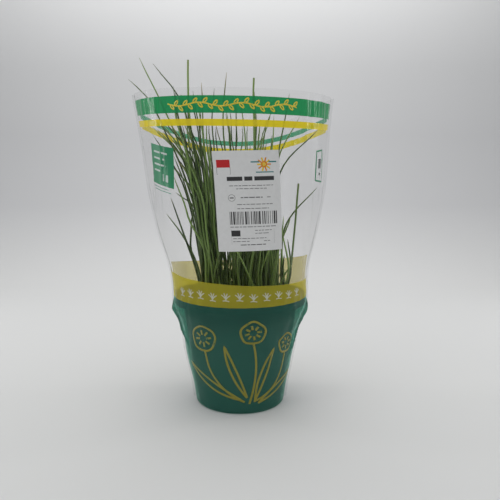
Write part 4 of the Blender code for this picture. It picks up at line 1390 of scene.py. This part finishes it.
rays = []
for i in range(10):
    a = math.pi * i / 5
    rays.append([(0.76 * w + r * math.cos(a), 0.135 * h + r * math.sin(a)) for r in (2.2, 3.6, 5.4)])
label_lines("label_sun", rays[::2] + [ring_path((0.76 * w, 0.135 * h), 2.0, 18)], 1.1, ORANGE)
label_lines("label_sun_rays", rays[1::2] + [ring_path((0.76 * w, 0.135 * h), 0.8, 12)], 1.3, YELLOW)
crest_frame = [(0.05 * w, 0.16 * h), (0.05 * w, 0.225 * h), (0.25 * w, 0.225 * h), (0.25 * w, 0.16 * h)]
label_lines("label_fine_lines", [ring_path((0.245 * w, 0.457 * h), 2.6, 24), crest_frame], 0.3, GREY)
table_frame = [(0.21, 0.775), (0.87, 0.775), (0.87, 0.925), (0.21, 0.925), (0.21, 0.775)]
label_lines("label_table", [[(a * w, b * h) for a, b in table_frame]], 0.18, FAINT)


# Studio: a pale sweep, a broad soft light above, a soft box on each side and even grey surroundings.

# The floor's grey is the paper's own; the wall's darker grey is painted shade and the top's lighter grey is
# painted light.
FLOOR_GREY = "#d4d4d3"
WALL_SHADED_GREY = "#c2c2c3"
TOP_LIT_GREY = "#d9d9d9"
SWEEP_WIDTH = 4.0
SWEEP_BACK = 1.3
SWEEP_HEIGHT = 2.4
SWEEP_RADIUS = 0.7
CAMERA_DISTANCE = 0.430
CAMERA_HEIGHT = 0.172
CAMERA_PITCH = 4.4
FOCAL_PIXELS = 467.0
FRAME_PIXELS = 500.0
AXIS_PIXEL = 240.0
SENSOR = 36.0


def sweep_with_painted_light():
    """Grey background paper with painted light and shade: darker on the wall behind the object, and lighter
    again towards the top.
    """
    material, tree, place = new_material("sweep_with_painted_light")
    tooth = add(tree, "ShaderNodeTexNoise", {"Vector": place, "Scale": 400.0, "Detail": 2.0})
    bump = add(tree, "ShaderNodeBump", {"Height": tooth, "Strength": 0.03, "Distance": 0.0002})
    height = add(tree, "ShaderNodeSeparateXYZ", {0: place}).outputs[2]
    # Painted shade rises onto the wall from 1 to 20 cm up, and painted light rises from 45 to 95 cm up.
    rise = add(tree, "ShaderNodeMapRange", {0: height, 1: 0.01, 2: 0.2})
    top = add(tree, "ShaderNodeMapRange", {0: height, 1: 0.45, 2: 0.95})
    wall = add(tree, "ShaderNodeMix", {0: rise, 6: srgb(FLOOR_GREY), 7: srgb(WALL_SHADED_GREY)}, data_type="RGBA")
    paper = add(tree, "ShaderNodeMix", {0: top, 6: wall, 7: srgb(TOP_LIT_GREY)}, data_type="RGBA")
    skin = {"Base Color": paper, "Roughness": 0.85, "Normal": bump}
    coat(tree, skin)
    return material


def soft_light(name, place, target, width, height, power):
    lamp = bpy.data.lights.new(name, "AREA")
    lamp.shape = "RECTANGLE"
    lamp.size = width
    lamp.size_y = height
    lamp.energy = power
    holder = bpy.data.objects.new(name, lamp)
    holder.location = place
    holder.rotation_euler = (Vector(target) - Vector(place)).to_track_quat("-Z", "Y").to_euler()
    bpy.context.scene.collection.objects.link(holder)


curve_points = [
    (SWEEP_BACK - SWEEP_RADIUS + SWEEP_RADIUS * math.sin(a), SWEEP_RADIUS - SWEEP_RADIUS * math.cos(a))
    for a in np.linspace(0, math.pi / 2, 24)
]
profile = [(-1.6, 0.0), *curve_points, (SWEEP_BACK, SWEEP_HEIGHT)]
sweep_mesh = bpy.data.meshes.new("sweep")
sweep_places = [(x, y, z) for y, z in profile for x in (-SWEEP_WIDTH / 2, SWEEP_WIDTH / 2)]
sweep_faces = [(2 * i, 2 * i + 1, 2 * i + 3, 2 * i + 2) for i in range(len(profile) - 1)]
sweep_mesh.from_pydata(sweep_places, [], sweep_faces)
sweep_mesh.shade_smooth()
show("sweep", sweep_mesh, sweep_with_painted_light())

soft_light("top_light", (0.0, 0.0, 1.3), (0.0, 0.05, 0.0), 2.0, 1.8, 12.0)
soft_light("left_light", (-0.8, 0.2, 0.3), (0.0, 0.0, 0.18), 0.025, 0.9, 1.0)
soft_light("right_light", (0.8, 0.2, 0.3), (0.0, 0.0, 0.18), 0.025, 0.9, 1.0)
soft_light("left_front_light", (-0.7, -0.5, 0.5), (0.0, 0.0, 0.15), 0.03, 0.5, 0.35)
soft_light("back_light", (0.0, 0.95, 1.5), (0.0, 1.3, 1.15), 1.6, 0.4, 6.6)

world = bpy.data.worlds.new("studio")
world.use_nodes = True
world.node_tree.nodes["Background"].inputs["Color"].default_value = srgb("#c4c6c8")
world.node_tree.nodes["Background"].inputs["Strength"].default_value = 0.72
bpy.context.scene.world = world
bpy.context.scene.view_settings.view_transform = "Standard"

camera = bpy.data.cameras.new("camera")
camera.sensor_width = SENSOR
camera.lens = SENSOR * FOCAL_PIXELS / FRAME_PIXELS
camera.shift_x = (FRAME_PIXELS / 2 - AXIS_PIXEL) / FRAME_PIXELS
holder = bpy.data.objects.new("camera", camera)
holder.location = (0.0, -CAMERA_DISTANCE, CAMERA_HEIGHT)
holder.rotation_euler = (math.radians(90 - CAMERA_PITCH), 0.0, 0.0)
bpy.context.scene.collection.objects.link(holder)
bpy.context.scene.camera = holder
